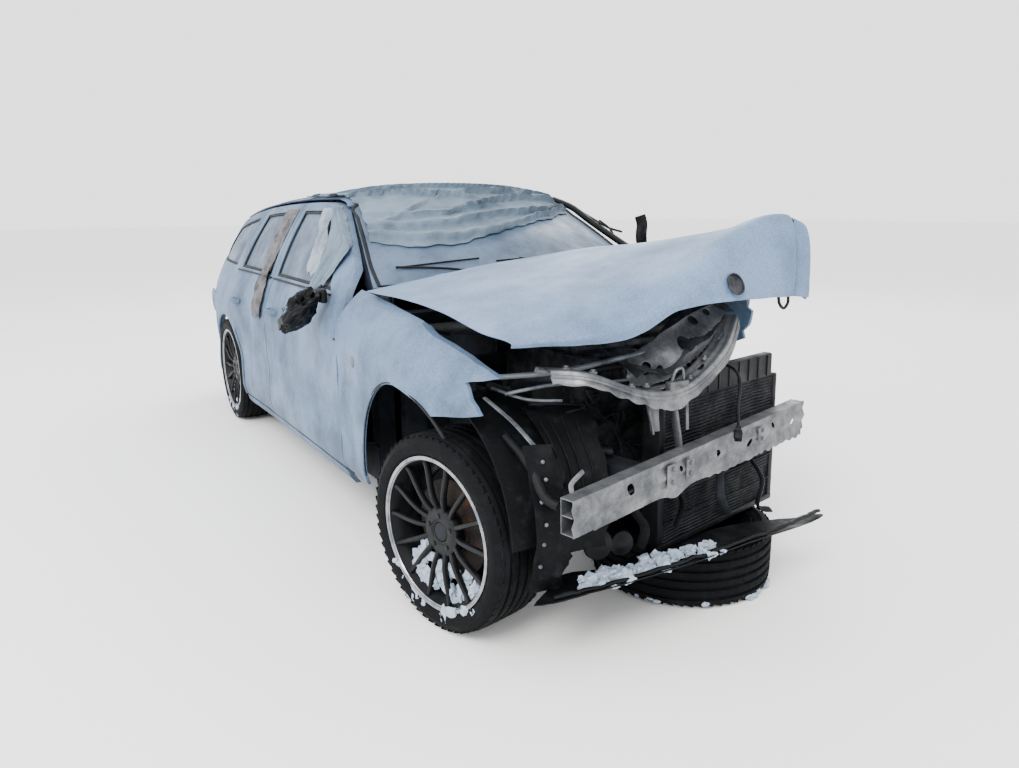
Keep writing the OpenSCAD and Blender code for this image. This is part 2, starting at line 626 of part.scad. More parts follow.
module rear_axle() {
    carrier = rear_track / 2 - wheel_in;
    color(black) ground_frame() {
        translate([-460, wheelbase - 60, 290]) cube([920, 120, 90]);
        both() translate([400, wheelbase, 379]) cylinder(r = 20, h = 30.1, $fn = 32);
        translate([0, wheelbase + 60, 322]) rotate([90, 0, 0]) cylinder(r = 76, h = 190, $fn = 48);
        both() difference() {
            union() {
                translate([carrier - 34, wheelbase, tyre_radius]) rotate([0, 90, 0]) cylinder(r = 50, h = 48, $fn = 48);
                translate([450, wheelbase - 40, 300]) cube([carrier - 470, 80, 50]);
                translate([420, wheelbase - 300, 250]) cube([60, 300, 50]);
            }
            translate([carrier - 60, wheelbase, tyre_radius]) rotate([0, 90, 0])
                cylinder(r = stub_radius + run_gap, h = 120, $fn = 48);
        }
    }
}
hub_left_x = 715;
module hub_left() {
    color(alloy) ground_frame() difference() {
        union() {
            translate([hub_left_x - 20, 0, tyre_radius]) rotate([0, 90, 0]) cylinder(r = 48, h = 50, $fn = 48);
            translate([hub_left_x + 29, 0, tyre_radius]) rotate([0, 90, 0]) cylinder(r = 80, h = 14, $fn = 64);
            translate([hub_left_x + 10, 0, tyre_radius]) rotate([0, 90, 0]) cylinder(r = 165, h = 22, $fn = 64);
            translate([hub_left_x + 40, 0, tyre_radius]) rotate([0, 90, 0]) cylinder(r = spigot_r, h = 18, $fn = 64);
            translate([hub_left_x - 20, -30, tyre_radius - 110]) cube([28, 60, 290]);
            bar([470 + 15 + seal, 20, tyre_radius + 160], [hub_left_x - 6, 0, tyre_radius + 150], [30, 34, 30]);
            bar([380 + 15 + seal, 0, subframe_z + 40], [hub_left_x - 6, 0, tyre_radius - 80], [30, 40, 24]);
        }
        for (i = [0:hub_holes - 1]) translate([hub_left_x, 0, tyre_radius]) rotate([i * 360 / hub_holes, 0, 0])
            translate([0, 0, hub_pcd / 2]) rotate([0, 90, 0]) cylinder(r = hub_hole_r, h = 90, $fn = 32);
    }
}
module exhaust() {
    pipe_z = 215;
    color(alloy) body_frame() {
        tube([0, wall_y + 10, pipe_z], [0, heel_y + 50, pipe_z], 30);
        tube([0, heel_y + 30, pipe_z], [280, heel_y + 260, pipe_z + 36], 28);
        tube([280, heel_y + 240, pipe_z + 36], [280, tail_y - 460, pipe_z + 36], 28);
        translate([160, tail_y - 490, 200]) cube([240, 200, 120]);
        translate([280, tail_y - 390, 310]) cylinder(r = 8, h = load_z - seal - 310, $fn = 24);
        translate([0, 1300, pipe_z + 20]) cylinder(r = 8, h = tunnel_z - 45 - seal - pipe_z - 20, $fn = 24);
    }
}

// ---- nose ----

module skewed() {
    body_frame() translate([-85, -618, 0]) rotate([0, 0, skew]) children();
}
module bumper_beam() {
    module box(gap, out) {
        translate([-beam_length / 2, -beam_depth / 2, 0]) rotate([0, -2.6, 0])
            translate([-out, gap, 412 + gap]) cube([beam_length + 2 * out, beam_depth - 2 * gap, beam_height - 2 * gap]);
    }
    color(alloy) skewed() difference() {
        box(0, 0);
        difference() {
            box(10, 10);
            translate([-430, -50, 380]) cube([60, 100, 150]);
        }
        translate([-400, 0, 482]) rotate([90, 0, 0]) cylinder(r = tow_r, h = 200, center = true, $fn = 48);
    }
}
module radiator() {
    color(black) body_frame() translate([110, -478, 158]) rotate([0, 0, skew]) {
        translate([-radiator_width / 2, -radiator_depth / 2, 0]) cube([radiator_width, radiator_depth, radiator_height]);
        translate([-radiator_width / 2 + 120, -radiator_depth / 2, radiator_height - 1])
            cube([radiator_width - 160, 40, 84]);
        translate([-radiator_width / 2 + 40, radiator_depth / 2 - 1, 42])
            cube([radiator_width - 80, 56, radiator_height - 80]);
    }
}
module slam_panel() {
    path = [[-610, -470, 800], [-520, -560, 792], [-340, -600, 724], [-170, -600, 726], [-20, -600, 822], [55, -575, 925]];
    color(alloy) body_frame() {
        for (i = [0:len(path) - 2]) hull() {
            translate(path[i]) cube([14, 100, 12], center = true);
            translate(path[i + 1]) cube([14, 100, 12], center = true);
        }
        bar([-610, -470, 800], [-600, tower[1] - 91.1, 800], [34, 20, 30]);
    }
}
module undertray() {
    z = 139.3;
    outline = [[-760, -640], [-600, -700], [-300, -716], [0, -706], [260, -690], [560, -668], [600, -640], [480, -610],
        [300, -560], [120, -520], [-200, -520], [-420, -560], [-560, -520], [-640, -560]];
    color(black) body_frame() {
        translate([0, 0, z]) linear_extrude(height = 10) polygon(outline);
        translate([0, 0, z + 9.5]) linear_extrude(height = 22)
            polygon(concat([for (i = [0:6]) outline[i]], [for (i = [6:-1:0]) outline[i] + [0, 12]]));
    }
}
loose_at = [100, -340, 0];
module loose_place() {
    ground_frame() translate(loose_at + [0, 0, tyre_half]) rotate([180, 0, 0]) children();
}
module loose_wheel() {
    color(black) loose_place() rim();
}
module loose_tyre() {
    color([0.08, 0.08, 0.09]) loose_place() tyre_solid();
}

// ---- cabin ----

column_r = 26;
module column_frame() {
    translate([370, 985, 800]) rotate([-65, 0, 0]) children();
}
module dashboard() {
    half = pillar_x - 37;
    color(black) body_frame() difference() {
        hull() {
            translate([-half, 590, 650]) cube([2 * half, 60, 190]);
            translate([-half + 14, 640, 620]) cube([2 * half - 28, 260, 200]);
        }
        column_frame() translate([0, 0, -170]) cylinder(r = column_r + seal, h = 170, $fn = 48);
    }
}
module steering_wheel() {
    color(black) body_frame() column_frame() {
        rotate_extrude($fn = 64) translate([176, 0]) circle(r = 14, $fn = 24);
        translate([0, 0, -40]) cylinder(r = 62, h = 44, $fn = 48);
        for (a = [0, 90, 180]) rotate([0, 0, a]) translate([55, -14, -12]) cube([112, 28, 18]);
        translate([0, 0, -150]) cylinder(r = column_r, h = 120, $fn = 48);
    }
}
module seat(x) {
    floor_top = floor_z + floor_sheet + seal;
    translate([x - 200, 1130, floor_top]) cube([400, 440, 110]);
    hull() {
        translate([x - 235, 1110, 300]) cube([470, 500, 100]);
        translate([x - 225, 1090, 320]) cube([450, 400, 110]);
    }
    hull() {
        translate([x - 235, 1530, 380]) cube([470, 110, 20]);
        translate([x - 210, 1690, 980]) cube([420, 80, 20]);
    }
    hull() {
        translate([x - 130, 1705, 1020]) cube([260, 80, 20]);
        translate([x - 110, 1715, 1160]) cube([220, 70, 10]);
    }
    for (side = [-60, 60]) translate([x + side, 1745, 990]) cylinder(r = 6, h = 40, $fn = 24);
}
module seats() {
    color([0.2, 0.2, 0.23]) body_frame() {
        seat(-392);
        seat(392);
        difference() {
            translate([-600, 1930, floor_z + floor_sheet + seal]) cube([1200, 330, 240]);
            translate([-tunnel_half - seal, 1900, 0]) cube([2 * tunnel_half + 2 * seal, 400, tunnel_z + seal]);
        }
        hull() {
            translate([-600, 2190, 430]) cube([1200, 58, 20]);
            translate([-580, 2400, 960]) cube([1160, 90, 20]);
        }
    }
}

// ---- cloth ----

// Point on the outer face over the windscreen and the front of the roof
function over(u, v) = v <= 1 ? screen(u * 0.97, v) : let (y = header(u * rail_half * 0.97) + (v - 1) * 420, x = u * rail_x(y) * 0.97)
    [x, y, roof_z(x, y) + 2];
module roof_cloth() {
    us = [for (i = [0:14]) mix(-0.99, 0.93, i / 14)];
    function reach(u) = 0.62 + 0.14 * u + 0.05 * sin(400 * u);
    color(cloth_grey) body_frame() slab(
        [for (u = us) [for (j = [0:8]) over(u, mix(reach(u), 1.72 - 0.3 * u, j / 8)) + [0, -8, 30 + 6 * sin(j * 130 + u * 200)]]],
        [for (u = us) [for (j = [0:8]) over(u, mix(reach(u), 1.72 - 0.3 * u, j / 8)) + [0, -2, 3.2]]]);
}
module hanging(y0, y1, z_top, z_low, drift, thickness) {
    zs = [for (i = [0:8]) i / 8];
    function spot(t, s, d) = let (z = mix(z_top, z_low, t), y = mix(y0, y1, s) + drift * t) [-(side_x(y, z) + d), y, z];
    slab([for (t = zs) [for (s = [0:0.5:1]) spot(t, s, 1.2 + thickness)]],
        [for (t = zs) [for (s = [0:0.5:1]) spot(t, s, 1.2)]]);
}
module door_cloth_right() {
    color(cloth_grey) body_frame() {
        hanging(1010, 1100, 1200, 960, -150, 14);
        hanging(1640, 1750, 1330, 800, 20, 14);
    }
}

// ---- opening panels ----

module bonnet() {
    rows = len(bonnet_rows);
    cols = len(bonnet_rows[0]);
    outer = [for (j = [0:cols - 1]) [for (i = [0:rows - 1]) bonnet_rows[rows - 1 - i][j]]];
    inner = [for (j = [0:cols - 1]) [for (i = [0:rows - 1]) bonnet_rows[rows - 1 - i][j]
        + [0, i < 2 ? bonnet_thickness : 0, -bonnet_thickness]]];
    color(steel) body_frame() difference() {
        union() {
            slab(outer, inner);
            for (x = [bonnet_hinge[0] - 10, bonnet_hinge_left - 10]) translate([x, bonnet_hinge[1], bonnet_hinge[2]])
                rotate([0, 90, 0]) cylinder(r = 12, h = 20, $fn = 48);
            for (x = [bonnet_hinge[0], bonnet_hinge_left]) bar([x, bonnet_hinge[1] - 2, bonnet_hinge[2] + 8],
                [x, bonnet_hinge[1] - 30, bonnet_hinge[2] + (x < 0 ? 12 : 30)], [16, 10, 12]);
        }
        for (x = [bonnet_hinge[0] - 30, bonnet_hinge_left - 30]) translate([x, bonnet_hinge[1], bonnet_hinge[2]])
            rotate([0, 90, 0]) cylinder(r = hinge_pin - 1 + hinge_play, h = 60, $fn = 48);
    }
}
module gate_window(gap) {
    half = gate_half - 62 - gap;
    low = gate_waist + 24 + gap;
    high = roof_height - 158 - gap;
    translate([0, tail_y, 0]) rotate([90, 0, 0]) linear_extrude(height = 600)
        polygon([[-half, low], [half, low], [half - 62, high], [half - 200, high + 26], [200 - half, high + 26], [62 - half, high]]);
}
function gate_back(t, depth) = let (s = max(0, 2 * t - 1)) [0, -depth * (1 - s), -depth * 0.62 * s];
module tailgate() {
    us = [for (i = [0:12]) mix(-1, 1, i / 12)];
    ts = [for (j = [0:12]) j / 12];
    wall = 44;
    color(steel) body_frame() {
        difference() {
            slab([for (t = ts) [for (u = us) gate(u, t)]],
                [for (t = ts) [for (u = us) gate(u * 0.98, t) + gate_back(t, wall) + [0, 0, t == 1 ? -4 : 0]]]);
            gate_window(0);
            both() translate(gate_hinge + [-0.5, -60, -40]) cube([10.5, 74, 90]);
            both() translate(gate_hinge + [-30, 0, 0]) rotate([0, 90, 0])
                cylinder(r = hinge_pin - 1 + hinge_play, h = 60, $fn = 48);
        }
        both() difference() {
            translate(gate_hinge + [-17, 0, 0]) rotate([0, 90, 0]) cylinder(r = 10, h = 16, $fn = 48);
            translate(gate_hinge + [-30, 0, 0]) rotate([0, 90, 0])
                cylinder(r = hinge_pin - 1 + hinge_play, h = 60, $fn = 48);
        }
    }
}
module tailgate_glass() {
    us = [for (i = [0:8]) mix(-1, 1, i / 8)];
    ts = [for (j = [0:8]) mix(0.5, 0.97, j / 8)];
    color(smoke) body_frame() intersection() {
        slab([for (t = ts) [for (u = us) gate(u, t) + gate_back(t, 10)]],
            [for (t = ts) [for (u = us) gate(u, t) + gate_back(t, 10 + glass_thickness)]]);
        gate_window(seal);
    }
}
// Left door: a thin skin with its window frame, and a narrower inner box below the window
module door_shape(y0, y1, hinge) {
    step = 20;
    difference() {
        union() {
            difference() {
                intersection() {
                    side_shell(y0 - 5, y1 + 5, sill_z - 10, 0, frame_thickness, 12, 9, 7);
                    across(300, half_width + 100) children(0);
                }
                across(300, half_width + 100) children(1);
            }
            intersection() {
                low_shell(y0, y1, sill_z + 20, belt(y0) - 12, frame_thickness - 1, door_thickness);
                across(300, half_width + 100) offset(delta = -step) children(0);
            }
        }
        for (z = hinge_z) translate([hinge[0] - 200, hinge[1] - 50, z - 22]) cube([213, 78, 44]);
    }
    for (z = hinge_z) translate([hinge[0], hinge[1], z]) cylinder(r = hinge_pin, h = 46, center = true, $fn = 48);
}
module door_glass(y0, y1) {
    intersection() {
        side_shell(y0, y1, 880, 14, 14 + glass_thickness, 8, 1, 7);
        across(300, half_width + 100) offset(delta = -seal) children(0);
    }
}
module front_door() {
    door_shape(front_door_start, door_split, front_hinge) {
        front_door_outline();
        front_window();
    }
}
module rear_door() {
    door_shape(door_split, rear_door_back, rear_hinge) {
        rear_door_outline();
        rear_window();
    }
}
module front_door_left() {
    color(steel) body_frame() front_door();
}
module front_door_right() {
    color(steel) body_frame() mirror([1, 0, 0]) front_door();
}
module rear_door_left() {
    color(steel) body_frame() rear_door();
}
module rear_door_right() {
    color(steel) body_frame() mirror([1, 0, 0]) rear_door();
}
module front_glass_left() {
    color(smoke) body_frame() door_glass(front_door_start, door_split) front_window();
}
module front_glass_right() {
    color(smoke) body_frame() mirror([1, 0, 0]) door_glass(front_door_start, door_split) front_window();
}
module rear_glass_left() {
    color(smoke) body_frame() door_glass(door_split, rear_door_back) rear_window();
}
module rear_glass_right() {
    color(smoke) body_frame() mirror([1, 0, 0]) door_glass(door_split, rear_door_back) rear_window();
}
mirror_half = 1040;
mirror_foot = side_x(830, 880) + 16.9;
module mirror_right() {
    color(black) body_frame() {
        hull() {
            translate([-mirror_foot, 830, 900]) cube([34, 60, 40], center = true);
            translate([-940, 850, 880]) cube([40, 60, 50], center = true);
        }
        hull() {
            translate([-930, 850, 880]) cube([40, 90, 110], center = true);
            translate([-mirror_half + 25, 900, 800]) cube([50, 70, 90], center = true);
            translate([-985, 830, 950]) cube([60, 50, 60], center = true);
        }
    }
}
module mirror_left() {
    color(black) body_frame() {
        hull() {
            translate([mirror_foot, 830, 900]) cube([34, 60, 40], center = true);
            translate([940, 850, 900]) cube([40, 60, 50], center = true);
        }
        hull() {
            translate([930, 850, 930]) cube([40, 90, 110], center = true);
            translate([mirror_half - 25, 880, 960]) cube([50, 80, 130], center = true);
        }
    }
}

// ---- sensor lead in front of the radiator ----

lead_radius = 5;
lead_route = [[64, -503, 745], [66, -535, 750], [70, -566, 750], [76, -600, 735], [80, -615, 705], [74, -622, 670], [62, -630, 640],
    [50, -640, 615], [38, -652, 595], [28, -664, 580], [20, -672, 566]];
module sensor_lead() {
    n = len(lead_route);
    sides = 8;
    function heading(i) = let (d = lead_route[min(n - 1, i + 1)] - lead_route[max(0, i - 1)]) d / norm(d);
    function across_at(i) = let (c = cross(heading(i), [1, 0, 0])) c / norm(c);
    rings = [for (i = [0:n - 1]) for (k = [0:sides - 1]) let (a = 360 * k / sides, p = across_at(i), q = cross(heading(i), p))
        lead_route[i] + lead_radius * (cos(a) * p + sin(a) * q)];
    faces = concat([[for (k = [0:sides - 1]) k]], [[for (k = [sides - 1:-1:0]) (n - 1) * sides + k]],
        [for (i = [0:n - 2]) for (k = [0:sides - 1]) let (l = (k + 1) % sides)
            each [[i * sides + k, (i + 1) * sides + k, (i + 1) * sides + l], [i * sides + k, (i + 1) * sides + l, i * sides + l]]]);
    color(black) body_frame() polyhedron(rings, faces);
}
module lead_connector() {
    color(black) body_frame() translate([20, -672, 566]) rotate([0, 39, 45]) translate([-16, -12, -46 - seal]) cube([32, 24, 46]);
}

floor_pan();
side_frames();
quarter_panels();
roof();
fixed_glass();
rear_bumper();
tail_lamps();
bulkhead();
front_rails();
wing_right();
wing_left();
arch_liners();
engine_block();
front_subframe();
hub_left();
rear_axle();
exhaust();
radiator();
slam_panel();
bumper_beam();
undertray();
loose_wheel();
loose_tyre();
dashboard();
steering_wheel();
seats();
roof_cloth();
bonnet();
tailgate();
tailgate_glass();
front_door_right();
front_glass_right();
mirror_right();
door_cloth_right();
rear_door_right();
rear_glass_right();
front_door_left();
front_glass_left();
mirror_left();
rear_door_left();
rear_glass_left();
knuckle_right();
front_wheel_right();
front_tyre_right();
rear_wheel_right();
rear_tyre_right();
rear_wheel_left();
rear_tyre_left();
sensor_lead();
lead_connector();
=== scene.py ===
"""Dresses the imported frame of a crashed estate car: panels, wheels, torn nose, cloth and cabin."""

from __future__ import annotations

import json
import logging
import math
import random
import sys
from dataclasses import dataclass
from enum import Enum
from typing import Callable, Iterable, Sequence

import bmesh
import bpy
from mathutils import Matrix, Vector, noise

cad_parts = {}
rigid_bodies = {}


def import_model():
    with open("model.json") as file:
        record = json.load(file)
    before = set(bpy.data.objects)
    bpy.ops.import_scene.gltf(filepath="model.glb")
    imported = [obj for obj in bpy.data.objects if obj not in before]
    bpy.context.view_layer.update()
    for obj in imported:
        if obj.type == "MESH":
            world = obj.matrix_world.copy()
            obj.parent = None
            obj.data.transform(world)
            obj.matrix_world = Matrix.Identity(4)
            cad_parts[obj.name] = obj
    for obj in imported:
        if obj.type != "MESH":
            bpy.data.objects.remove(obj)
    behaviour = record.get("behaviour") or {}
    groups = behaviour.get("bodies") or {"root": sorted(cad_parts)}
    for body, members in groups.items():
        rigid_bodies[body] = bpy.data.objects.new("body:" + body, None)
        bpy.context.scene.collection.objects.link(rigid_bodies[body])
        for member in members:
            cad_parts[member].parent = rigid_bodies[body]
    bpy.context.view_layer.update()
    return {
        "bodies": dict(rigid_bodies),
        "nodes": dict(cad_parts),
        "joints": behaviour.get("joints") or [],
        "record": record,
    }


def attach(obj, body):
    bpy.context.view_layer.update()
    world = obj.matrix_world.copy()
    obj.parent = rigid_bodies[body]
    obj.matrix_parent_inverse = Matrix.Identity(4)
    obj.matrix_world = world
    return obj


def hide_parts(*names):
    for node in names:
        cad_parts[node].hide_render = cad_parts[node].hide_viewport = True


log = logging.getLogger("wreck")

Point = Sequence[float]
Colour = tuple[float, float, float]
Range = tuple[float, float]
Place = Callable[[float, float], Point]
Layer = Callable[[float, float, float], Point]
FrameMap = Callable[[Point], Vector]
Mesh = bmesh.types.BMesh
Piece = bpy.types.Object
Socket = bpy.types.NodeSocket
Tree = bpy.types.NodeTree

# Turns that lay the Z axis of a mesh along X and along Y.
TO_X = Matrix.Rotation(math.pi / 2, 4, "Y")
TO_Y = Matrix.Rotation(math.pi / 2, 4, "X")


class Side(Enum):
    """The two sides of the car, as the sign of X."""

    RIGHT = -1
    LEFT = 1


class Cut(Enum):
    """What a cutter does to the piece it meets."""

    KEEP = "INTERSECT"
    REMOVE = "DIFFERENCE"


# ---------------------------------------------------------------- shape of the body


class Shape:
    """Surfaces of the body in millimetres: x from the centre line, y back from the front axle, z up."""

    half_width = 885.0
    wheelbase = 2840.0
    tail = 3910.0
    roof_height = 1450.0
    flare = 20.0
    tyre = 331.5
    front_door = 650.0
    split = 1840.0
    rear_door = 2650.0
    gap = 12.0
    arch = 372.0
    sill = 235.0
    roof_back = 3480.0
    gate_low = 632.0
    gate_waist = 980.0
    gate_half = 560.0
    nose_up = math.radians(1.45)
    origin_y = 1559.25

    @classmethod
    def row(cls, p: Point) -> Vector:
        """Point of the body, which stands nose up on its rear axle, in the row frame in metres."""
        s, c = math.sin(cls.nose_up), math.cos(cls.nose_up)
        y, z = p[1] - cls.wheelbase, p[2] - cls.tyre
        return Vector((p[0], cls.wheelbase + y * c + z * s - cls.origin_y, cls.tyre - y * s + z * c)) / 1000

    @classmethod
    def ground(cls, p: Point) -> Vector:
        """Point of the running gear in the row frame, in metres."""
        return Vector((p[0], p[1] - cls.origin_y, p[2])) / 1000

    @staticmethod
    def mix(a: float, b: float, t: float) -> float:
        """Value a share t of the way from a to b."""
        return a + (b - a) * t

    @staticmethod
    def bump(v: float, middle: float, spread: float) -> float:
        """Bell curve of height one."""
        return math.exp(-(((v - middle) / spread) ** 2))

    @staticmethod
    def crease(v: float, middle: float, spread: float) -> float:
        """Sharp ridge of height one."""
        return math.exp(-abs(v - middle) / spread)

    @staticmethod
    def clamp(v: float) -> float:
        """Value held between 0 and 1."""
        return max(0.0, min(1.0, v))

    @classmethod
    def plan(cls, y: float) -> float:
        """Half width at the widest height."""
        swell = cls.flare * (cls.bump(y, 0, 430) + cls.bump(y, cls.wheelbase, 430))
        nose = 160 * max(0.0, (-y - 50) / 650) ** 1.6
        tail = 300 * max(0.0, (y - cls.wheelbase - 210) / 860) ** 2.2
        return cls.half_width + swell - nose - tail

    @classmethod
    def lean(cls, z: float) -> float:
        """How far the side leans in under and over its widest height."""
        if z < 300:
            return 60 * ((300 - z) / 160) ** 1.5
        return 8 * cls.bump(z, 470, 70) + (58 * ((z - 740) / 210) ** 1.6 if z > 740 else 0.0)

    @staticmethod
    def belt(y: float) -> float:
        """Height of the lower edge of the windows."""
        return 930 + 0.022 * (y - 600)

    @classmethod
    def rail_z(cls, y: float) -> float:
        """Height of the roof rail."""
        if y < 1230:
            return cls.mix(975, 1345, (y - 600) / 630)
        return min(1345 + 0.2 * (y - 1230), cls.roof_height - 70 - 78 * (abs(y - 2000) / 1500) ** 2.2)

    @staticmethod
    def rail_x(y: float) -> float:
        """Distance of the roof rail from the centre line."""
        return 600 + (0.25 * (1230 - y) if y < 1230 else 0.0) - 45 * max(0.0, (y - 2300) / 1300) ** 2

    @classmethod
    def side(cls, y: float, z: float) -> float:
        """Distance of the side's outer face from the centre line."""
        belt, rail = cls.belt(y), cls.rail_z(y)
        if z <= belt:
            return cls.plan(y) - cls.lean(z)
        t = min(1.1, (z - belt) / max(1.0, rail - belt))
        return cls.mix(cls.plan(y) - cls.lean(belt), cls.rail_x(y), t) + 14 * math.sin(math.pi * min(1.0, t))

    @classmethod
    def roof(cls, x: float, y: float) -> float:
        """Height of the roof."""
        drop = 60 * ((1800 - y) / 700) ** 2 if y < 1800 else 100 * ((y - 1800) / 1700) ** 2
        crown = cls.roof_height - drop
        return crown - (crown - cls.rail_z(y)) * (abs(x) / cls.rail_x(y)) ** 2.4

    @staticmethod
    def header(x: float) -> float:
        """Distance back of the windscreen's upper edge."""
        return 1130 + 70 * (x / 600) ** 2

    @classmethod
    def screen(cls, u: float, t: float) -> Point:
        """Point of the windscreen, u across from -1 to 1 and t up from 0 to 1."""
        x = u * cls.mix(720, 586, t)
        back = cls.header(0.96 * x)
        y = cls.mix(440 + 175 * u * u, back - 4, t) - 26 * math.sin(math.pi * t) * (1 - u * u)
        z = cls.mix(1000 - 18 * u * u, cls.roof(x, back) - 3, t) + 22 * math.sin(math.pi * t)
        return (x, y, z)

    @staticmethod
    def wing_top(y: float) -> float:
        """Height of the upper edge of the wings."""
        return 975 - 0.09 * (600 - y) - 60 * ((600 - y) / 1130) ** 3

    @classmethod
    def wing(cls, y: float, z: float) -> float:
        """Distance of a wing's outer face from the centre line."""
        roll = 125 * max(0.0, (z - cls.wing_top(y) + 180) / 180) ** 2
        return cls.plan(y) - (cls.lean(z) if z < 300 else 0.0) - roll

    @staticmethod
    def tail_curve(x: float) -> float:
        """How far the tail has curved forward at x."""
        return 70 * (abs(x) / 560) ** 2.4

    @classmethod
    def gate(cls, u: float, t: float) -> Point:
        """Point of the tailgate, u across from -1 to 1 and t up from 0 to 1."""
        s = max(0.0, 2 * t - 1)
        x = u * (cls.gate_half - 40 * s)
        if t < 0.5:
            z = cls.mix(cls.gate_low, cls.gate_waist, 2 * t)
        else:
            z = cls.mix(cls.gate_waist, cls.roof(x, cls.roof_back - cls.tail_curve(x)) - 4, s)
        return (x, cls.tail - 50 - (cls.tail - 62 - cls.roof_back) * s**1.25 - cls.tail_curve(x), z)


def wrinkle(p: Point, size: float, seed: float = 0.0) -> float:
    """Smooth noise from about -1 to 1.

    Args:
        p: point in millimetres.
        size: size of one swell, in millimetres.
        seed: shift that gives another pattern.

    Returns:
        The noise at the point.
    """
    return noise.noise(Vector((p[0] / size + seed, p[1] / size, p[2] / size)))


# ---------------------------------------------------------------- making meshes


class Bench:
    """Makes, cuts and joins meshes."""

    @staticmethod
    def obj(name: str, bm: Mesh, smooth: float = 35.0) -> Piece:
        """Turns a bmesh into an object.

        Args:
            name: name of the piece.
            bm: the mesh, which is freed.
            smooth: angle in degrees past which an edge stays sharp.

        Returns:
            The new object.
        """
        mesh = bpy.data.meshes.new(name)
        bm.normal_update()
        Bench.outward(bm)
        bm.to_mesh(mesh)
        bm.free()
        piece = bpy.data.objects.new(name, mesh)
        bpy.context.scene.collection.objects.link(piece)
        Bench.shade(piece, smooth)
        return piece

    @staticmethod
    def outward(bm: Mesh) -> None:
        """Turns the faces of each closed part outwards."""
        left = set(bm.faces)
        while left:
            part, edge = set(), [left.pop()]
            while edge:
                face = edge.pop()
                part.add(face)
                for near in {f for e in face.edges for f in e.link_faces} & left:
                    left.discard(near)
                    edge.append(near)
            heart = next(iter(part)).verts[0].co.copy()
            size = sum((f.calc_center_median() - heart).dot(f.normal) * f.calc_area() for f in part)
            if size < 0:
                bmesh.ops.reverse_faces(bm, faces=list(part))

    @staticmethod
    def shade(piece: Piece, angle: float) -> None:
        """Shades a piece smooth except over sharp edges."""
        piece.data.shade_smooth()
        piece.data.set_sharp_from_angle(angle=math.radians(angle))

    @staticmethod
    def wall(nu: int, nv: int, front: Place, back: Place) -> Mesh:
        """Closed wall between two surfaces.

        Args:
            nu: faces along u.
            nv: faces along v.
            front: outer surface, for u and v from 0 to 1, in metres.
            back: inner surface.

        Returns:
            The mesh, with its faces pointing outwards.
        """
        bm = bmesh.new()
        bmesh.ops.create_grid(bm, x_segments=nu, y_segments=nv, size=0.5)
        lu = bm.verts.layers.float.new("u")
        lv = bm.verts.layers.float.new("v")
        for vert in bm.verts:
            vert[lu], vert[lv] = vert.co.x + 0.5, vert.co.y + 0.5
        made = bmesh.ops.extrude_face_region(bm, geom=bm.faces[:])["geom"]
        moved = {g for g in made if isinstance(g, bmesh.types.BMVert)}
        for vert in bm.verts:
            vert.co = Vector((back if vert in moved else front)(vert[lu], vert[lv]))
        bmesh.ops.recalc_face_normals(bm, faces=bm.faces[:])
        return bm

    @staticmethod
    def slab(nu: int, nv: int, layer: Layer, far: float) -> Mesh:
        """Closed wall from a surface down to the depth far under it."""
        return Bench.wall(nu, nv, lambda u, v: layer(u, v, 0), lambda u, v: layer(u, v, far))

    @staticmethod
    def sheet(nu: int, nv: int, place: Place, thick: float) -> Mesh:
        """Thin closed sheet laid on a surface, its thickness behind it.

        Args:
            nu: faces along u.
            nv: faces along v.
            place: the surface, for u and v from 0 to 1, in metres.
            thick: thickness in metres.

        Returns:
            The mesh.
        """
        def behind(u: float, v: float) -> Vector:
            h = 0.004
            along = Vector(place(min(1, u + h), v)) - Vector(place(max(0, u - h), v))
            across = Vector(place(u, min(1, v + h))) - Vector(place(u, max(0, v - h)))
            return Vector(place(u, v)) - along.cross(across).normalized() * thick

        return Bench.wall(nu, nv, place, behind)

    @staticmethod
    def prism(outline: Sequence[Point], x0: float, x1: float, frame: FrameMap) -> Piece:
        """Cutter across the car whose outline is given as distance back and height.

        Args:
            outline: corners in order, as (y, z) in millimetres.
            x0: near end in millimetres.
            x1: far end in millimetres.
            frame: turns a point in millimetres into the row frame.

        Returns:
            The cutter.
        """
        bm = bmesh.new()
        face = bm.faces.new([bm.verts.new((x0, y, z)) for y, z in outline])
        top = bmesh.ops.extrude_face_region(bm, geom=[face])["geom"]
        bmesh.ops.translate(bm, vec=(x1 - x0, 0, 0),
            verts=[g for g in top if isinstance(g, bmesh.types.BMVert)])
        for vert in bm.verts:
            vert.co = frame(vert.co)
        bmesh.ops.recalc_face_normals(bm, faces=bm.faces[:])
        return Bench.obj("cutter", bm)

    @staticmethod
    def carve(piece: Piece, cutter: Piece, cut: Cut) -> None:
        """Cuts a piece with a cutter, which is used up."""
        mod = piece.modifiers.new("carve", "BOOLEAN")
        mod.operation, mod.object, mod.solver = cut.value, cutter, "EXACT"
        Bench.settle(piece)
        bpy.data.objects.remove(cutter)

    @staticmethod
    def drill(piece: Piece, drum: Mesh, matrix: Matrix, frame: FrameMap) -> None:
        """Cuts a round hole where the matrix and the frame put the drum."""
        Bench.carve(piece, Bench.obj("cutter", Bench.place(drum, matrix, frame)), Cut.REMOVE)

    @staticmethod
    def settle(piece: Piece) -> None:
        """Applies the modifiers of a piece."""
        deps = bpy.context.evaluated_depsgraph_get()
        mesh = bpy.data.meshes.new_from_object(piece.evaluated_get(deps))
        piece.modifiers.clear()
        piece.data = mesh

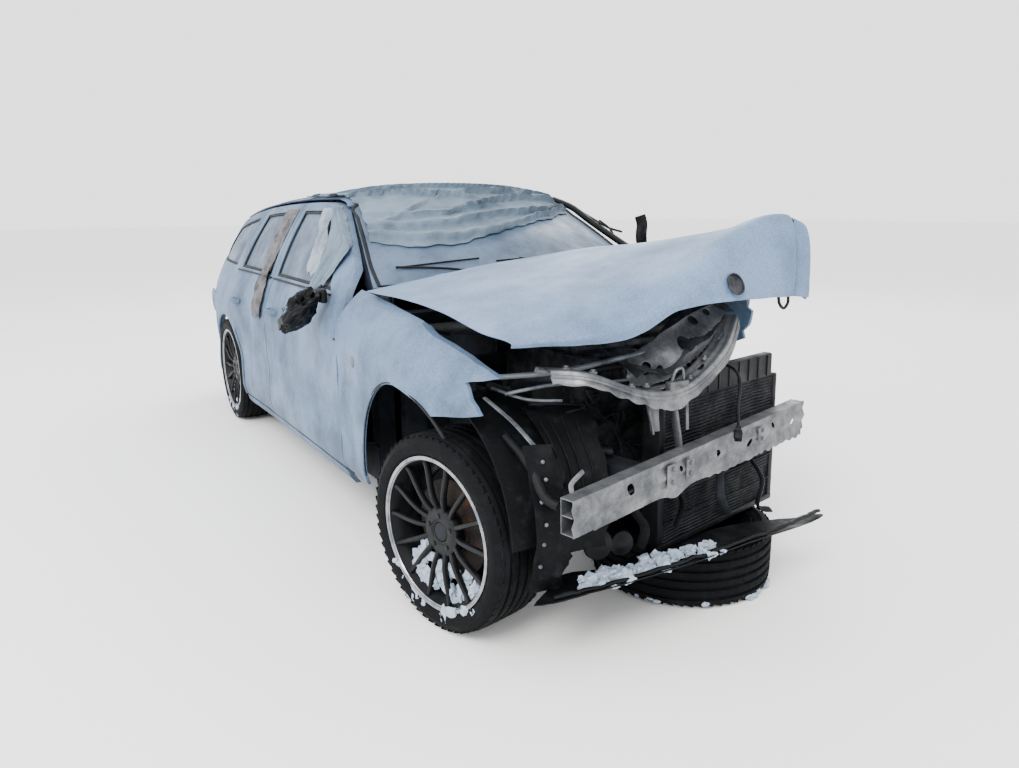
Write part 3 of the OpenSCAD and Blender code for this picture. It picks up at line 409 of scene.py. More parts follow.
    @staticmethod
    def join(name: str, parts: Iterable[Mesh], smooth: float = 35.0) -> Piece:
        """Joins meshes into one piece.

        Args:
            name: name of the piece.
            parts: the meshes, which are freed.
            smooth: angle in degrees past which an edge stays sharp.

        Returns:
            The piece.
        """
        whole = bmesh.new()
        for part in parts:
            mesh = bpy.data.meshes.new("part")
            part.normal_update()
            part.to_mesh(mesh)
            part.free()
            whole.from_mesh(mesh)
            bpy.data.meshes.remove(mesh)
        return Bench.obj(name, whole, smooth)

    @staticmethod
    def block(low: Point, high: Point, bevel: float = 0.0, frame: FrameMap | None = None) -> Mesh:
        """Box with rounded edges.

        Args:
            low: lowest corner in millimetres.
            high: highest corner.
            bevel: radius of the edges in millimetres.
            frame: turns a point in millimetres into the row frame.

        Returns:
            The mesh.
        """
        bm = bmesh.new()
        bmesh.ops.create_cube(bm, size=1.0)
        size = [h - l for l, h in zip(low, high)]
        middle = Vector([(h + l) / 2 for l, h in zip(low, high)])
        bmesh.ops.scale(bm, vec=size, verts=bm.verts[:])
        if bevel > 0:
            bmesh.ops.bevel(bm, geom=bm.edges[:], offset=bevel, segments=2, profile=0.5, affect="EDGES",
                material=-1)
        for vert in bm.verts:
            vert.co = (frame or Shape.row)(vert.co + middle)
        return bm

    @staticmethod
    def rod(path: Sequence[Point], radius: float, frame: FrameMap | None = None, sides: int = 10,
            smooth: int = 6, flat: float = 1.0) -> Mesh:
        """Round or oval bar that follows a smooth path.

        Args:
            path: points in millimetres.
            radius: radius in millimetres.
            frame: turns a point in millimetres into the row frame.
            sides: sides of its section.
            smooth: stretches between two points of the path.
            flat: height of the section as a share of its width.

        Returns:
            The mesh.
        """
        place = frame or Shape.row
        line = [place(p) for p in curve(path, smooth)]
        bm = bmesh.new()
        rings = []
        up = Vector((0.13, 0.21, 1.0)).normalized()
        for i, p in enumerate(line):
            d = (line[min(i + 1, len(line) - 1)] - line[max(i - 1, 0)]).normalized()
            side = d.cross(up).normalized()
            lift = side.cross(d).normalized()
            up = lift
            ring = bmesh.ops.create_circle(bm, cap_ends=False, segments=sides, radius=radius / 1000)["verts"]
            basis = Matrix((side, lift * flat, d)).transposed().to_4x4()
            bmesh.ops.transform(bm, matrix=Matrix.Translation(p) @ basis, verts=ring)
            rings.append(ring)
        for a, b in zip(rings, rings[1:]):
            edges = Bench.ring_edges(a) + Bench.ring_edges(b)
            bmesh.ops.bridge_loops(bm, edges=edges)
        for ring in (rings[0], rings[-1]):
            bm.faces.new(ring)
        bmesh.ops.recalc_face_normals(bm, faces=bm.faces[:])
        return bm

    @staticmethod
    def ring_edges(ring: Sequence[bmesh.types.BMVert]) -> list[bmesh.types.BMEdge]:
        """Edges between the vertices of one ring."""
        inside = set(ring)
        return list({e for v in ring for e in v.link_edges if e.other_vert(v) in inside})

    @staticmethod
    def lathe(profile: Sequence[Point], steps: int) -> Mesh:
        """Shape turned about the Z axis.

        Args:
            profile: closed profile as (radius, height) in millimetres.
            steps: steps of the turn.

        Returns:
            The mesh, in millimetres.
        """
        bm = bmesh.new()
        verts = [bm.verts.new((r, 0, h)) for r, h in profile]
        edges = [bm.edges.new((a, b)) for a, b in zip(verts, verts[1:] + verts[:1])]
        bmesh.ops.spin(bm, geom=verts + edges, cent=(0, 0, 0), axis=(0, 0, 1), angle=math.tau, steps=steps,
            use_merge=True)
        bmesh.ops.remove_doubles(bm, verts=bm.verts[:], dist=0.001)
        bmesh.ops.recalc_face_normals(bm, faces=bm.faces[:])
        return bm

    @staticmethod
    def drum(radius: float, low: float, high: float, sides: int = 32, bevel: float = 0.0) -> Mesh:
        """Cylinder about the Z axis, in millimetres."""
        bm = bmesh.new()
        bmesh.ops.create_cone(bm, cap_ends=True, segments=sides, radius1=radius, radius2=radius,
            depth=high - low)
        bmesh.ops.translate(bm, vec=(0, 0, (low + high) / 2), verts=bm.verts[:])
        if bevel > 0:
            rim = [e for e in bm.edges if abs(e.verts[0].co.z - e.verts[1].co.z) < 1e-6]
            bmesh.ops.bevel(bm, geom=rim, offset=bevel, segments=2, profile=0.5, affect="EDGES", material=-1)
        return bm

    @staticmethod
    def place(bm: Mesh, matrix: Matrix, frame: FrameMap | None = None) -> Mesh:
        """Moves a mesh that is in millimetres, and then into the row frame."""
        bmesh.ops.transform(bm, matrix=matrix, verts=bm.verts[:])
        if frame:
            for vert in bm.verts:
                vert.co = frame(vert.co)
        return bm

    @staticmethod
    def lump(at: Point, size: Point, seed: int, rough: float = 0.3, detail: int = 2,
            frame: FrameMap | None = None) -> Mesh:
        """Rough lump, such as snow or broken trim.

        Args:
            at: its middle in millimetres.
            size: its half sizes.
            seed: pattern of its roughness.
            rough: depth of the roughness as a share of its size.
            detail: subdivisions of the ball it starts from.
            frame: turns a point in millimetres into the row frame.

        Returns:
            The mesh.
        """
        bm = bmesh.new()
        bmesh.ops.create_icosphere(bm, subdivisions=detail, radius=1.0)
        for vert in bm.verts:
            shift = Vector((seed * 3.1, seed * 1.7, 0))
            n = 1 + rough * (noise.noise(vert.co * 1.7 + shift) + 0.5 * noise.noise(vert.co * 4.3 + shift))
            p = Vector([a + s * n * c for a, s, c in zip(at, size, vert.co)])
            vert.co = (frame or Shape.row)(p)
        bmesh.ops.recalc_face_normals(bm, faces=bm.faces[:])
        return bm


def spline(a: Vector, b: Vector, c: Vector, d: Vector, t: float) -> Vector:
    """Point a share t of the way from b to c on a smooth line through four points."""
    return 0.5 * (2 * b + (c - a) * t + (2 * a - 5 * b + 4 * c - d) * t * t + (3 * b - a - 3 * c + d) * t**3)


def travel(line: Sequence[Point], share: float) -> Vector:
    """Point a share of the way along a line, counted in its points."""
    k = share * (len(line) - 1)
    i = min(len(line) - 2, int(k))
    return Vector(line[i]).lerp(Vector(line[i + 1]), k - i)


def curve(path: Sequence[Point], smooth: int) -> list[Point]:
    """Smooth line through points.

    Args:
        path: the points.
        smooth: stretches between two points.

    Returns:
        The points of the smooth line.
    """
    pts = [Vector(p) for p in path]
    if len(pts) < 3:
        return [tuple(p) for p in pts]
    line = []
    for i in range(len(pts) - 1):
        a, b = pts[max(i - 1, 0)], pts[i]
        c, d = pts[i + 1], pts[min(i + 2, len(pts) - 1)]
        line += [tuple(spline(a, b, c, d, k / smooth)) for k in range(smooth)]
    line.append(tuple(pts[-1]))
    return line


# ---------------------------------------------------------------- finishes


class Pattern(Enum):
    """Fine pattern of a finish, over its patches and grain."""

    PLAIN = 0
    FINS = 1
    WEAVE = 2
    BRUSHED = 3
    STREAKS = 4


@dataclass(frozen=True)
class Finish:
    """A weathered surface: a colour, patches of a second one, dirt from below, grain and a fine pattern.

    Lengths are in metres and colours are linear.
    """

    name: str
    base: Colour
    worn: Colour
    dirt: Colour = (0.03, 0.03, 0.033)
    patch: float = 0.25
    spread: Range = (0.42, 0.62)
    grain: float = 0.006
    speckle: float = 0.25
    rough: Range = (0.5, 0.8)
    metal: float = 0.0
    bump: float = 0.25
    depth: float = 0.002
    dirt_top: float = 0.0
    pattern: Pattern = Pattern.PLAIN
    pitch: float = 0.004
    alpha: Range = (1.0, 1.0)
    sheen: float = 0.0
    coat: float = 0.0
    shine: float = 0.5

    def build(self) -> bpy.types.Material:
        """Makes the material, or finds it if it has been made."""
        found = bpy.data.materials.get(self.name + "_finish")
        if found:
            return found
        mat = bpy.data.materials.new(self.name + "_finish")
        mat.use_nodes = True
        tree = mat.node_tree
        tree.nodes.clear()
        out = tree.nodes.new("ShaderNodeOutputMaterial")
        shader = tree.nodes.new("ShaderNodeBsdfPrincipled")
        tree.links.new(shader.outputs["BSDF"], out.inputs["Surface"])
        shader.inputs["Metallic"].default_value = self.metal
        shader.inputs["Sheen Weight"].default_value = self.sheen
        shader.inputs["Coat Weight"].default_value = self.coat
        shader.inputs["Specular IOR Level"].default_value = self.shine
        coords = tree.nodes.new("ShaderNodeTexCoord").outputs["Object"]
        patches = self.noise(tree, coords, 1 / self.patch, 7.0, 0.62)
        fine = self.noise(tree, coords, 1 / self.grain, 3.0, 0.6)
        share = self.span(tree, patches, self.spread, (0.0, 1.0))
        colour = self.blend(tree, share, self.base, self.worn)
        specks = self.span(tree, fine, (0.3, 0.7), (1 - self.speckle, 1 + self.speckle * 0.6))
        colour = self.tint(tree, colour, specks)
        if self.dirt_top > 0:
            split = tree.nodes.new("ShaderNodeSeparateXYZ")
            tree.links.new(coords, split.inputs[0])
            low = self.span(tree, split.outputs["Z"], (0.05, self.dirt_top), (1.0, 0.0))
            splash = self.maths(tree, "MULTIPLY", low, self.span(tree, patches, (0.3, 0.6), (0.25, 1.0)))
            colour = self.blend_in(tree, splash, colour, self.dirt)
        height = fine
        if self.pattern is not Pattern.PLAIN:
            height, colour = self.weave(tree, coords, fine, colour)
        tree.links.new(colour, shader.inputs["Base Color"])
        rough = self.span(tree, patches, (0.3, 0.7), self.rough)
        tree.links.new(rough, shader.inputs["Roughness"])
        if self.alpha != (1.0, 1.0):
            tree.links.new(self.span(tree, patches, (0.35, 0.65), self.alpha), shader.inputs["Alpha"])
        bump = tree.nodes.new("ShaderNodeBump")
        bump.inputs["Strength"].default_value = self.bump
        bump.inputs["Distance"].default_value = self.depth
        tree.links.new(height, bump.inputs["Height"])
        tree.links.new(bump.outputs["Normal"], shader.inputs["Normal"])
        return mat

    @staticmethod
    def noise(tree: Tree, coords: Socket, scale: float, detail: float, rough: float) -> Socket:
        """Noise on the piece's own coordinates."""
        node = tree.nodes.new("ShaderNodeTexNoise")
        node.inputs["Scale"].default_value = scale
        node.inputs["Detail"].default_value = detail
        node.inputs["Roughness"].default_value = rough
        tree.links.new(coords, node.inputs["Vector"])
        return node.outputs["Fac"]

    @staticmethod
    def span(tree: Tree, value: Socket, source: Range, target: Range) -> Socket:
        """Maps a value from one range to another, and clamps it."""
        node = tree.nodes.new("ShaderNodeMapRange")
        for name, number in zip(("From Min", "From Max", "To Min", "To Max"), (*source, *target)):
            node.inputs[name].default_value = number
        tree.links.new(value, node.inputs["Value"])
        return node.outputs["Result"]

    @staticmethod
    def maths(tree: Tree, kind: str, a: Socket, b: Socket | float) -> Socket:
        """One sum of two values."""
        node = tree.nodes.new("ShaderNodeMath")
        node.operation = kind
        tree.links.new(a, node.inputs[0])
        if isinstance(b, float):
            node.inputs[1].default_value = b
        else:
            tree.links.new(b, node.inputs[1])
        return node.outputs[0]

    @staticmethod
    def blend(tree: Tree, share: Socket, a: Colour, b: Colour) -> Socket:
        """Mixes two colours by a share."""
        node = tree.nodes.new("ShaderNodeMix")
        node.data_type = "RGBA"
        under, over = (s for s in node.inputs if s.type == "RGBA")
        under.default_value, over.default_value = (*a, 1.0), (*b, 1.0)
        tree.links.new(share, node.inputs[0])
        return next(s for s in node.outputs if s.type == "RGBA")

    @staticmethod
    def blend_in(tree: Tree, share: Socket, under: Socket, over: Colour) -> Socket:
        """Lays a colour over another by a share."""
        node = tree.nodes.new("ShaderNodeMix")
        node.data_type = "RGBA"
        tree.links.new(share, node.inputs[0])
        low, high = (s for s in node.inputs if s.type == "RGBA")
        tree.links.new(under, low)
        high.default_value = (*over, 1.0)
        return next(s for s in node.outputs if s.type == "RGBA")

    @staticmethod
    def tint(tree: Tree, colour: Socket, value: Socket) -> Socket:
        """Makes a colour lighter or darker by a value."""
        node = tree.nodes.new("ShaderNodeVectorMath")
        node.operation = "SCALE"
        tree.links.new(colour, node.inputs[0])
        tree.links.new(value, node.inputs["Scale"])
        return node.outputs[0]

    def weave(self, tree: Tree, coords: Socket, fine: Socket, colour: Socket) -> tuple[Socket, Socket]:
        """Adds the fine pattern.

        Args:
            tree: the material's nodes.
            coords: the piece's own coordinates.
            fine: height of the grain.
            colour: colour so far.

        Returns:
            The height and the colour with the pattern.
        """
        if self.pattern in (Pattern.BRUSHED, Pattern.STREAKS):
            mapping = tree.nodes.new("ShaderNodeMapping")
            stretch = {Pattern.BRUSHED: (1.0, 0.12, 1.0), Pattern.STREAKS: (1.0, 1.0, 0.12)}
            mapping.inputs["Scale"].default_value = stretch[self.pattern]
            tree.links.new(coords, mapping.inputs["Vector"])
            lines = self.noise(tree, mapping.outputs[0], 1 / self.pitch, 4.0, 0.7)
            tone = self.span(tree, lines, (0.3, 0.7), (0.72, 1.12))
            return self.maths(tree, "ADD", fine, lines), self.tint(tree, colour, tone)
        heights, fins = [], self.pattern is Pattern.FINS
        for axis in ("Z",) if fins else ("X", "Y", "Z"):
            wave = tree.nodes.new("ShaderNodeTexWave")
            wave.bands_direction = axis
            wave.inputs["Scale"].default_value = 0.314 / self.pitch
            wave.inputs["Distortion"].default_value = 0.6 if fins else 1.2
            wave.inputs["Detail"].default_value = 1.0
            wave.inputs["Detail Scale"].default_value = 2.0
            tree.links.new(coords, wave.inputs["Vector"])
            heights.append(wave.outputs["Fac"])
        height = heights[0]
        for other in heights[1:]:
            height = self.maths(tree, "ADD", height, other)
        tone = self.span(tree, height, (0.0, float(len(heights))), (0.45, 1.2) if fins else (0.85, 1.08))
        return height, self.tint(tree, colour, tone)


FROST = Finish("frosted_paint", (0.098, 0.158, 0.255), (0.050, 0.085, 0.142), dirt=(0.030, 0.037, 0.050),
    patch=0.26, spread=(0.40, 0.62), grain=0.0055, speckle=0.34, rough=(0.5, 0.75), bump=0.22, depth=0.0015,
    dirt_top=0.42)
# Lighter copy of the frosted paint for the up-facing bonnet: painted light on its top surface.
FROST_LIT_TOP = Finish("bonnet_frost", (0.128, 0.202, 0.325), (0.078, 0.130, 0.215), patch=0.3,
    spread=(0.42, 0.66), grain=0.0055, speckle=0.28, rough=(0.45, 0.7), bump=0.2, depth=0.0015)
FROST_TRIM = Finish("frosted_trim", (0.0022, 0.0026, 0.0034), (0.010, 0.012, 0.016), patch=0.12, grain=0.003,
    bump=0.3, shine=0.2)
INNER_PAINT = Finish("inner_paint", (0.014, 0.019, 0.027), (0.005, 0.007, 0.010), patch=0.2, grain=0.005,
    speckle=0.2, bump=0.2, dirt_top=0.5, dirt=(0.008, 0.008, 0.009), shine=0.12)
PRIMER = Finish("grimy_steel", (0.014, 0.0165, 0.021), (0.004, 0.005, 0.006), patch=0.15, grain=0.004,
    speckle=0.35, rough=(0.5, 0.85), bump=0.35, dirt_top=0.4, dirt=(0.006, 0.006, 0.007), shine=0.12)
UNDERSEAL = Finish("underseal", (0.010, 0.011, 0.012), (0.005, 0.005, 0.006), patch=0.2, grain=0.008,
    speckle=0.4, rough=(0.75, 0.95), bump=0.5, depth=0.003, shine=0.05)
PLASTIC = Finish("black_plastic", (0.0022, 0.0026, 0.0034), (0.010, 0.012, 0.015), patch=0.09,
    spread=(0.5, 0.75), grain=0.003, speckle=0.3, rough=(0.35, 0.7), bump=0.3, depth=0.001, shine=0.14)
SCUFFED = Finish("scuffed_liner", (0.002, 0.0024, 0.0032), (0.016, 0.019, 0.024), patch=0.05,
    spread=(0.56, 0.84), grain=0.004, speckle=0.4, rough=(0.45, 0.8), bump=0.5, pattern=Pattern.STREAKS,
    pitch=0.03, shine=0.1)
ALLOY = Finish("torn_alloy", (0.200, 0.205, 0.215), (0.085, 0.090, 0.100), patch=0.09, spread=(0.36, 0.62),
    grain=0.003, rough=(0.38, 0.66), metal=0.7, bump=0.3, depth=0.001, pattern=Pattern.BRUSHED, pitch=0.02)
CAST = Finish("cast_alloy", (0.050, 0.054, 0.060), (0.015, 0.017, 0.019), patch=0.06, grain=0.003,
    speckle=0.3, rough=(0.5, 0.75), metal=0.5, bump=0.4, depth=0.0015, shine=0.15)
IRON = Finish("rusty_iron", (0.018, 0.016, 0.015), (0.055, 0.026, 0.014), patch=0.08, spread=(0.5, 0.72),
    grain=0.004, speckle=0.35, rough=(0.6, 0.9), metal=0.2, bump=0.4, shine=0.15)
RIM = Finish("black_rim", (0.0024, 0.0028, 0.0034), (0.008, 0.0095, 0.012), patch=0.06, spread=(0.5, 0.72),
    grain=0.003, rough=(0.35, 0.6), bump=0.12, depth=0.0008, shine=0.18)
LIP = Finish("machined_lip", (0.30, 0.31, 0.33), (0.15, 0.16, 0.18), patch=0.05, grain=0.002, speckle=0.12,
    rough=(0.25, 0.45), metal=0.85, bump=0.1, depth=0.0005)
RUBBER = Finish("tyre_rubber", (0.0025, 0.0028, 0.0034), (0.010, 0.0115, 0.014), patch=0.07,
    spread=(0.5, 0.78), grain=0.004, speckle=0.35, rough=(0.6, 0.9), bump=0.35, depth=0.0015, shine=0.08)
HOSE = Finish("hose_rubber", (0.002, 0.0023, 0.0028), (0.009, 0.010, 0.013), patch=0.05, grain=0.003,
    rough=(0.4, 0.7), bump=0.2, shine=0.14)
CORE = Finish("radiator_core", (0.020, 0.022, 0.027), (0.006, 0.007, 0.009), patch=0.09, spread=(0.4, 0.62),
    grain=0.004, speckle=0.4, metal=0.3, bump=1.0, depth=0.005, pattern=Pattern.FINS, pitch=0.012, shine=0.1)
PANE = Finish("frosted_glass", (0.082, 0.125, 0.190), (0.040, 0.063, 0.100), patch=0.17, spread=(0.36, 0.68),
    grain=0.003, speckle=0.3, rough=(0.35, 0.6), bump=0.2, depth=0.001, alpha=(0.99, 0.90), shine=0.3)
CLOTH = Finish("wet_cloth", (0.142, 0.195, 0.252), (0.078, 0.108, 0.145), patch=0.16, spread=(0.38, 0.66),
    grain=0.004, speckle=0.16, rough=(0.85, 0.98), bump=0.35, depth=0.0012, pattern=Pattern.WEAVE,
    pitch=0.003, sheen=0.1, shine=0.2)
PALE_CLOTH = Finish("pale_cloth", (0.26, 0.31, 0.36), (0.13, 0.16, 0.20), patch=0.12, spread=(0.4, 0.7),
    grain=0.004, speckle=0.14, rough=(0.85, 0.98), bump=0.35, depth=0.0012, pattern=Pattern.WEAVE,
    pitch=0.003, sheen=0.1, shine=0.2)
GREY_CLOTH = Finish("grey_cloth", (0.135, 0.132, 0.140), (0.045, 0.043, 0.046), patch=0.06,
    spread=(0.4, 0.65), grain=0.004, rough=(0.85, 0.98), bump=0.4, depth=0.0015, pattern=Pattern.WEAVE,
    pitch=0.003, sheen=0.1, shine=0.2)
SEAT = Finish("seat_cloth", (0.011, 0.012, 0.014), (0.018, 0.020, 0.023), patch=0.12, grain=0.004,
    rough=(0.8, 0.95), bump=0.4, depth=0.0012, pattern=Pattern.WEAVE, pitch=0.004, sheen=0.15, shine=0.1)
SEAT_EDGE = Finish("seat_edge", (0.006, 0.0065, 0.0075), (0.012, 0.013, 0.015), patch=0.05, grain=0.003,
    rough=(0.4, 0.6), bump=0.3, shine=0.12)
SNOW = Finish("packed_snow", (0.33, 0.39, 0.47), (0.20, 0.26, 0.34), patch=0.03, spread=(0.45, 0.7),
    grain=0.004, speckle=0.14, rough=(0.75, 0.95), bump=0.7, depth=0.004)
LAMP_RED = Finish("lamp_red", (0.07, 0.006, 0.008), (0.09, 0.04, 0.05), patch=0.1, rough=(0.15, 0.35),
    bump=0.1, coat=0.3)
STEEL = Finish("bare_steel", (0.12, 0.125, 0.135), (0.055, 0.045, 0.040), patch=0.05, spread=(0.5, 0.75),
    rough=(0.3, 0.6), metal=0.8, bump=0.2)
PALE_STRIP = Finish("pale_strip", (0.13, 0.145, 0.16), (0.05, 0.058, 0.068), patch=0.06, grain=0.003,
    rough=(0.5, 0.7), bump=0.3, shine=0.3)


class Dresser:
    """Gives pieces their finishes and their bodies."""

    @staticmethod
    def dress(piece: Piece, body: str, finish: Finish, slot: str, *stands_for: str) -> Piece:
        """Finishes a new piece and lets it ride.

        Args:
            piece: the piece, in the row frame.
            body: body that it moves with.
            finish: its finish.
            slot: material slot of the record; not used.
            stands_for: frame nodes that it replaces.

        Returns:
            The piece.
        """
        piece.data.materials.clear()
        piece.data.materials.append(finish.build())
        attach(piece, body)
        if stands_for:
            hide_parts(*stands_for)
        log.info("%s: %d faces", piece.name, len(piece.data.polygons))
        return piece

    @staticmethod
    def keep(nodes: dict[str, Piece], name: str, finish: Finish) -> None:
        """Gives a frame node that stays a better finish."""
        mesh = nodes[name].data
        mesh.materials.clear()
        mesh.materials.append(finish.build())
        for face in mesh.polygons:
            face.material_index = 0


# ---------------------------------------------------------------- panels


@dataclass
class SidePanels:
    """Doors, their glass and trims, and the rear quarters."""

    skin: float = 34.0
    box: float = 108.0
    fine: float = 16.0
    hinges: Range = (330, 760)
    reach: Range = (300, 1000)

    def row(self, side: Side, p: Point) -> Vector:
        """Point of the left side, or its mirror image, in the row frame."""
        return Shape.row((p[0] * side.value, p[1], p[2]))

    def dent(self, y: float, z: float, side: Side) -> float:
        """Depth of the dents in a side, in millimetres."""
        waves = (max(0.0, wrinkle((0, y, z), 260, 3.0 * side.value)) * 5
            + max(0.0, wrinkle((0, y, z), 90, 7.0)) * 1.6)
        if side is Side.RIGHT:
            waves += (7 * Shape.bump(y, 690, 70) * Shape.bump(z, 800, 110)
                + 6 * Shape.bump(y, 1180, 170) * Shape.bump(z, 760, 60))
        crease = 3.5 * math.exp(-abs(z - (770 + 0.045 * (y - 600))) / 26)
        return waves - crease * 0.55

    def shell(self, side: Side, y0: float, y1: float, z0: float, near: float, far: float,
            low_only: bool = False) -> Mesh:
        """Shell of a side between two depths below its outer face.

        Args:
            side: side of the car.
            y0: front edge.
            y1: rear edge.
            z0: lower edge.
            near: depth of its outer face.
            far: depth of its inner face.
            low_only: whether it stops at the belt.

        Returns:
            The mesh.
        """
        low, high = max(6, round(700 / self.fine)), 0 if low_only else max(6, round(420 / self.fine))

        def spot(u: float, v: float, depth: float, dented: bool) -> Vector:
            y = Shape.mix(y0, y1, u)
            j = v * (low + high)
            belt = Shape.belt(y) - (12 if low_only else 0)
            z = (Shape.mix(z0, belt, j / low) if j <= low
                else Shape.mix(belt, Shape.rail_z(y) + 12, (j - low) / max(1, high)))
            d = depth + (self.dent(y, z, side) if dented else 0.0)
            return self.row(side, (Shape.side(y, z) - d, y, z))

        return Bench.wall(max(4, round((y1 - y0) / self.fine)), low + high,
            lambda u, v: spot(u, v, near, near == 0), lambda u, v: spot(u, v, far, False))

    def prism(self, side: Side, outline: Sequence[Point]) -> Piece:
        """Cutter through one side of the car."""
        near, far = sorted(side.value * end for end in self.reach)
        return Bench.prism(outline, near, far, Shape.row)

    def frame(self, side: Side) -> FrameMap:
        """Frame of one side, for parts that are given for the left one."""
        return lambda p: self.row(side, p)

    def trim(self, piece: Piece, side: Side, keep: Sequence[Point], *holes: Sequence[Point]) -> None:
        """Cuts a piece to an outline and takes holes out of it."""
        Bench.carve(piece, self.prism(side, keep), Cut.KEEP)
        for hole in holes:
            Bench.carve(piece, self.prism(side, hole), Cut.REMOVE)

    def notch(self, piece: Piece, side: Side, x0: float, x1: float, hinge: float) -> None:
        """Makes room for the hinges of a door."""
        for z in self.hinges:
            box = Bench.block((x0, hinge - 50, z - 22), (x1, hinge + 28, z + 22), frame=self.frame(side))
            Bench.carve(piece, Bench.obj("cutter", box), Cut.REMOVE)

    def glaze(self, side: Side, body: str, names: tuple[str, str], ends: Range,
            outline: Callable[[float], list[Point]], pane: Range, seal: tuple[float, float, float],
            *nodes: str) -> None:
        """Frosted pane and its rubber seal.

        Args:
            side: side of the car.
            body: body that they move with.
            names: names of the pane and of the seal.
            ends: front and rear edge of the meshes that they are cut from.
            outline: outline of the window, smaller by an inset.
            pane: depths of the faces of the pane.
            seal: depths of the faces of the seal, and its width.
            nodes: frame nodes that the pane replaces.
        """
        glass = Bench.obj(names[0], self.shell(side, *ends, 800, *pane))
        self.trim(glass, side, outline(0.3))
        Dresser.dress(glass, body, PANE, "glazing", *nodes)
        band = Bench.obj(names[1], self.shell(side, *ends, 800, *seal[:2]))
        self.trim(band, side, outline(0.5), outline(seal[2]))
        Dresser.dress(band, body, FROST_TRIM, "black_plastic")

    @staticmethod
    def arc(cy: float, cz: float, r: float, a0: float, a1: float, steps: int) -> list[Point]:
        """Points of an arc as (y, z), with angles in degrees from the rear."""
        turns = [math.radians(Shape.mix(a0, a1, i / steps)) for i in range(steps + 1)]
        return [(cy + r * math.cos(a), cz + r * math.sin(a)) for a in turns]

    @staticmethod
    def under_rail(y0: float, y1: float, steps: int, drop: float, inset: float = 0.0) -> list[Point]:
        """Line that runs a drop and an inset under the roof rail, as (y, z)."""
        ys = [Shape.mix(y0, y1, i / steps) for i in range(steps + 1)]
        return [(y, Shape.rail_z(y) - drop - inset) for y in ys]

    @staticmethod
    def tail_marks() -> list[Point]:
        """Rear edge of a quarter as (y, z), from the bumper up."""
        s = Shape
        return [(s.tail - 96, s.gate_low), (s.tail - 126, s.gate_waist), (s.tail - 262, s.gate_waist + 200),
            (s.roof_back - 40, s.rail_z(s.roof_back - 40))]

    @classmethod
    def arch_cut(cls, y: float) -> list[Point]:
        """Outline of a wheel arch round the axle at y."""
        return cls.arc(y, Shape.tyre, Shape.arch, 0, 355, 71)

    def front_outline(self) -> list[Point]:
        """Outline of a front door."""
        s = Shape
        top = [(y, s.rail_z(y) - 20) for y in range(760, int(s.split) - 20, 40)]
        last = s.split - s.gap / 2
        return [(s.front_door, s.sill), (s.front_door, s.belt(650) - 6), *top, (last, s.rail_z(last) - 20),
            (last, s.sill)]

    def front_window(self, inset: float = 0.0) -> list[Point]:
        """Outline of a front window, smaller by inset."""
        s, low = Shape, 26 + inset
        top = [(y, s.rail_z(y) - 60 - inset) for y in range(990, 1750, 40)]
        return [(860 + 2 * inset, s.belt(860) + low), (905 + 1.4 * inset, s.belt(905) + low + 28), *top,
            (s.split - 72 - inset, s.rail_z(s.split) - 62 - inset),
            (s.split - 60 - inset, s.belt(s.split) + low)]

    def rear_outline(self) -> list[Point]:
        """Outline of a rear door, cut round the wheel arch."""
        s = Shape
        y0 = s.split + s.gap / 2
        top = self.under_rail(y0, s.rear_door, 20, 20)
        r = s.arch + 48
        first = math.degrees(math.asin((s.sill - s.tyre) / r))
        last = math.degrees(math.acos((s.rear_door - s.wheelbase) / r))
        return [(y0, s.sill), *top, *self.arc(s.wheelbase, s.tyre, r, last, 180 - first, 14)]

    def rear_window(self, inset: float = 0.0) -> list[Point]:
        """Outline of a rear window, smaller by inset."""
        s, low = Shape, 26 + inset
        y0, y1 = s.split + 70 + inset, s.rear_door - 120 - inset
        top = self.under_rail(y0, y1, 12, 60, inset)
        return [(s.split + 62 + inset, s.belt(s.split) + low), *top,
            (s.rear_door - 66 - inset * 1.6, s.belt(s.rear_door) + low)]

    def quarter_window(self, inset: float = 0.0) -> list[Point]:
        """Outline of a rear quarter window, smaller by inset."""
        s, y0 = Shape, Shape.rear_door + 70 + inset
        end = s.tail - 420 - inset * 1.4
        top = [(y, s.rail_z(y) - 66 - inset - 12 * (i / 8))
            for i, y in enumerate(s.mix(y0, s.tail - 560, k / 8) for k in range(9))]
        return [(y0, s.belt(y0) + 30 + inset), *top, (end, s.belt(s.tail) + 52),
            (end - 20, s.belt(s.tail) + 34 + inset)]

    def door(self, side: Side, front: bool) -> None:
        """Builds one door with its lining, glass, seals and handle."""
        s = Shape
        tag = ("front" if front else "rear") + "_door_" + side.name.lower()
        glass = tag.replace("door", "glass")
        y0, y1 = (s.front_door, s.split - s.gap / 2) if front else (s.split + s.gap / 2, s.rear_door)
        outline = self.front_outline() if front else self.rear_outline()
        window = self.front_window() if front else self.rear_window()
        hinge = y0 + 30
        panel = Bench.obj(tag + "_skin", self.shell(side, y0 - 4, y1 + 4, s.sill - 8, 0, self.skin))
        self.trim(panel, side, outline, window)
        self.notch(panel, side, 840, 878, hinge)
        self.soften(panel, 2.2)
        Dresser.dress(panel, tag, FROST, "paint", tag)
        self.lining(side, tag, y0, y1, outline, hinge)
        self.window(side, tag, glass, y0, y1, front)
        self.handle(side, tag, y1 - 150)

    def soften(self, piece: Piece, width: float) -> None:
        """Rounds the edges of a cut panel."""
        mod = piece.modifiers.new("soften", "BEVEL")
        mod.width, mod.segments, mod.use_clamp_overlap = width / 1000, 2, True
        mod.limit_method, mod.angle_limit = "ANGLE", math.radians(50)
        Bench.settle(piece)
        Bench.shade(piece, 32)

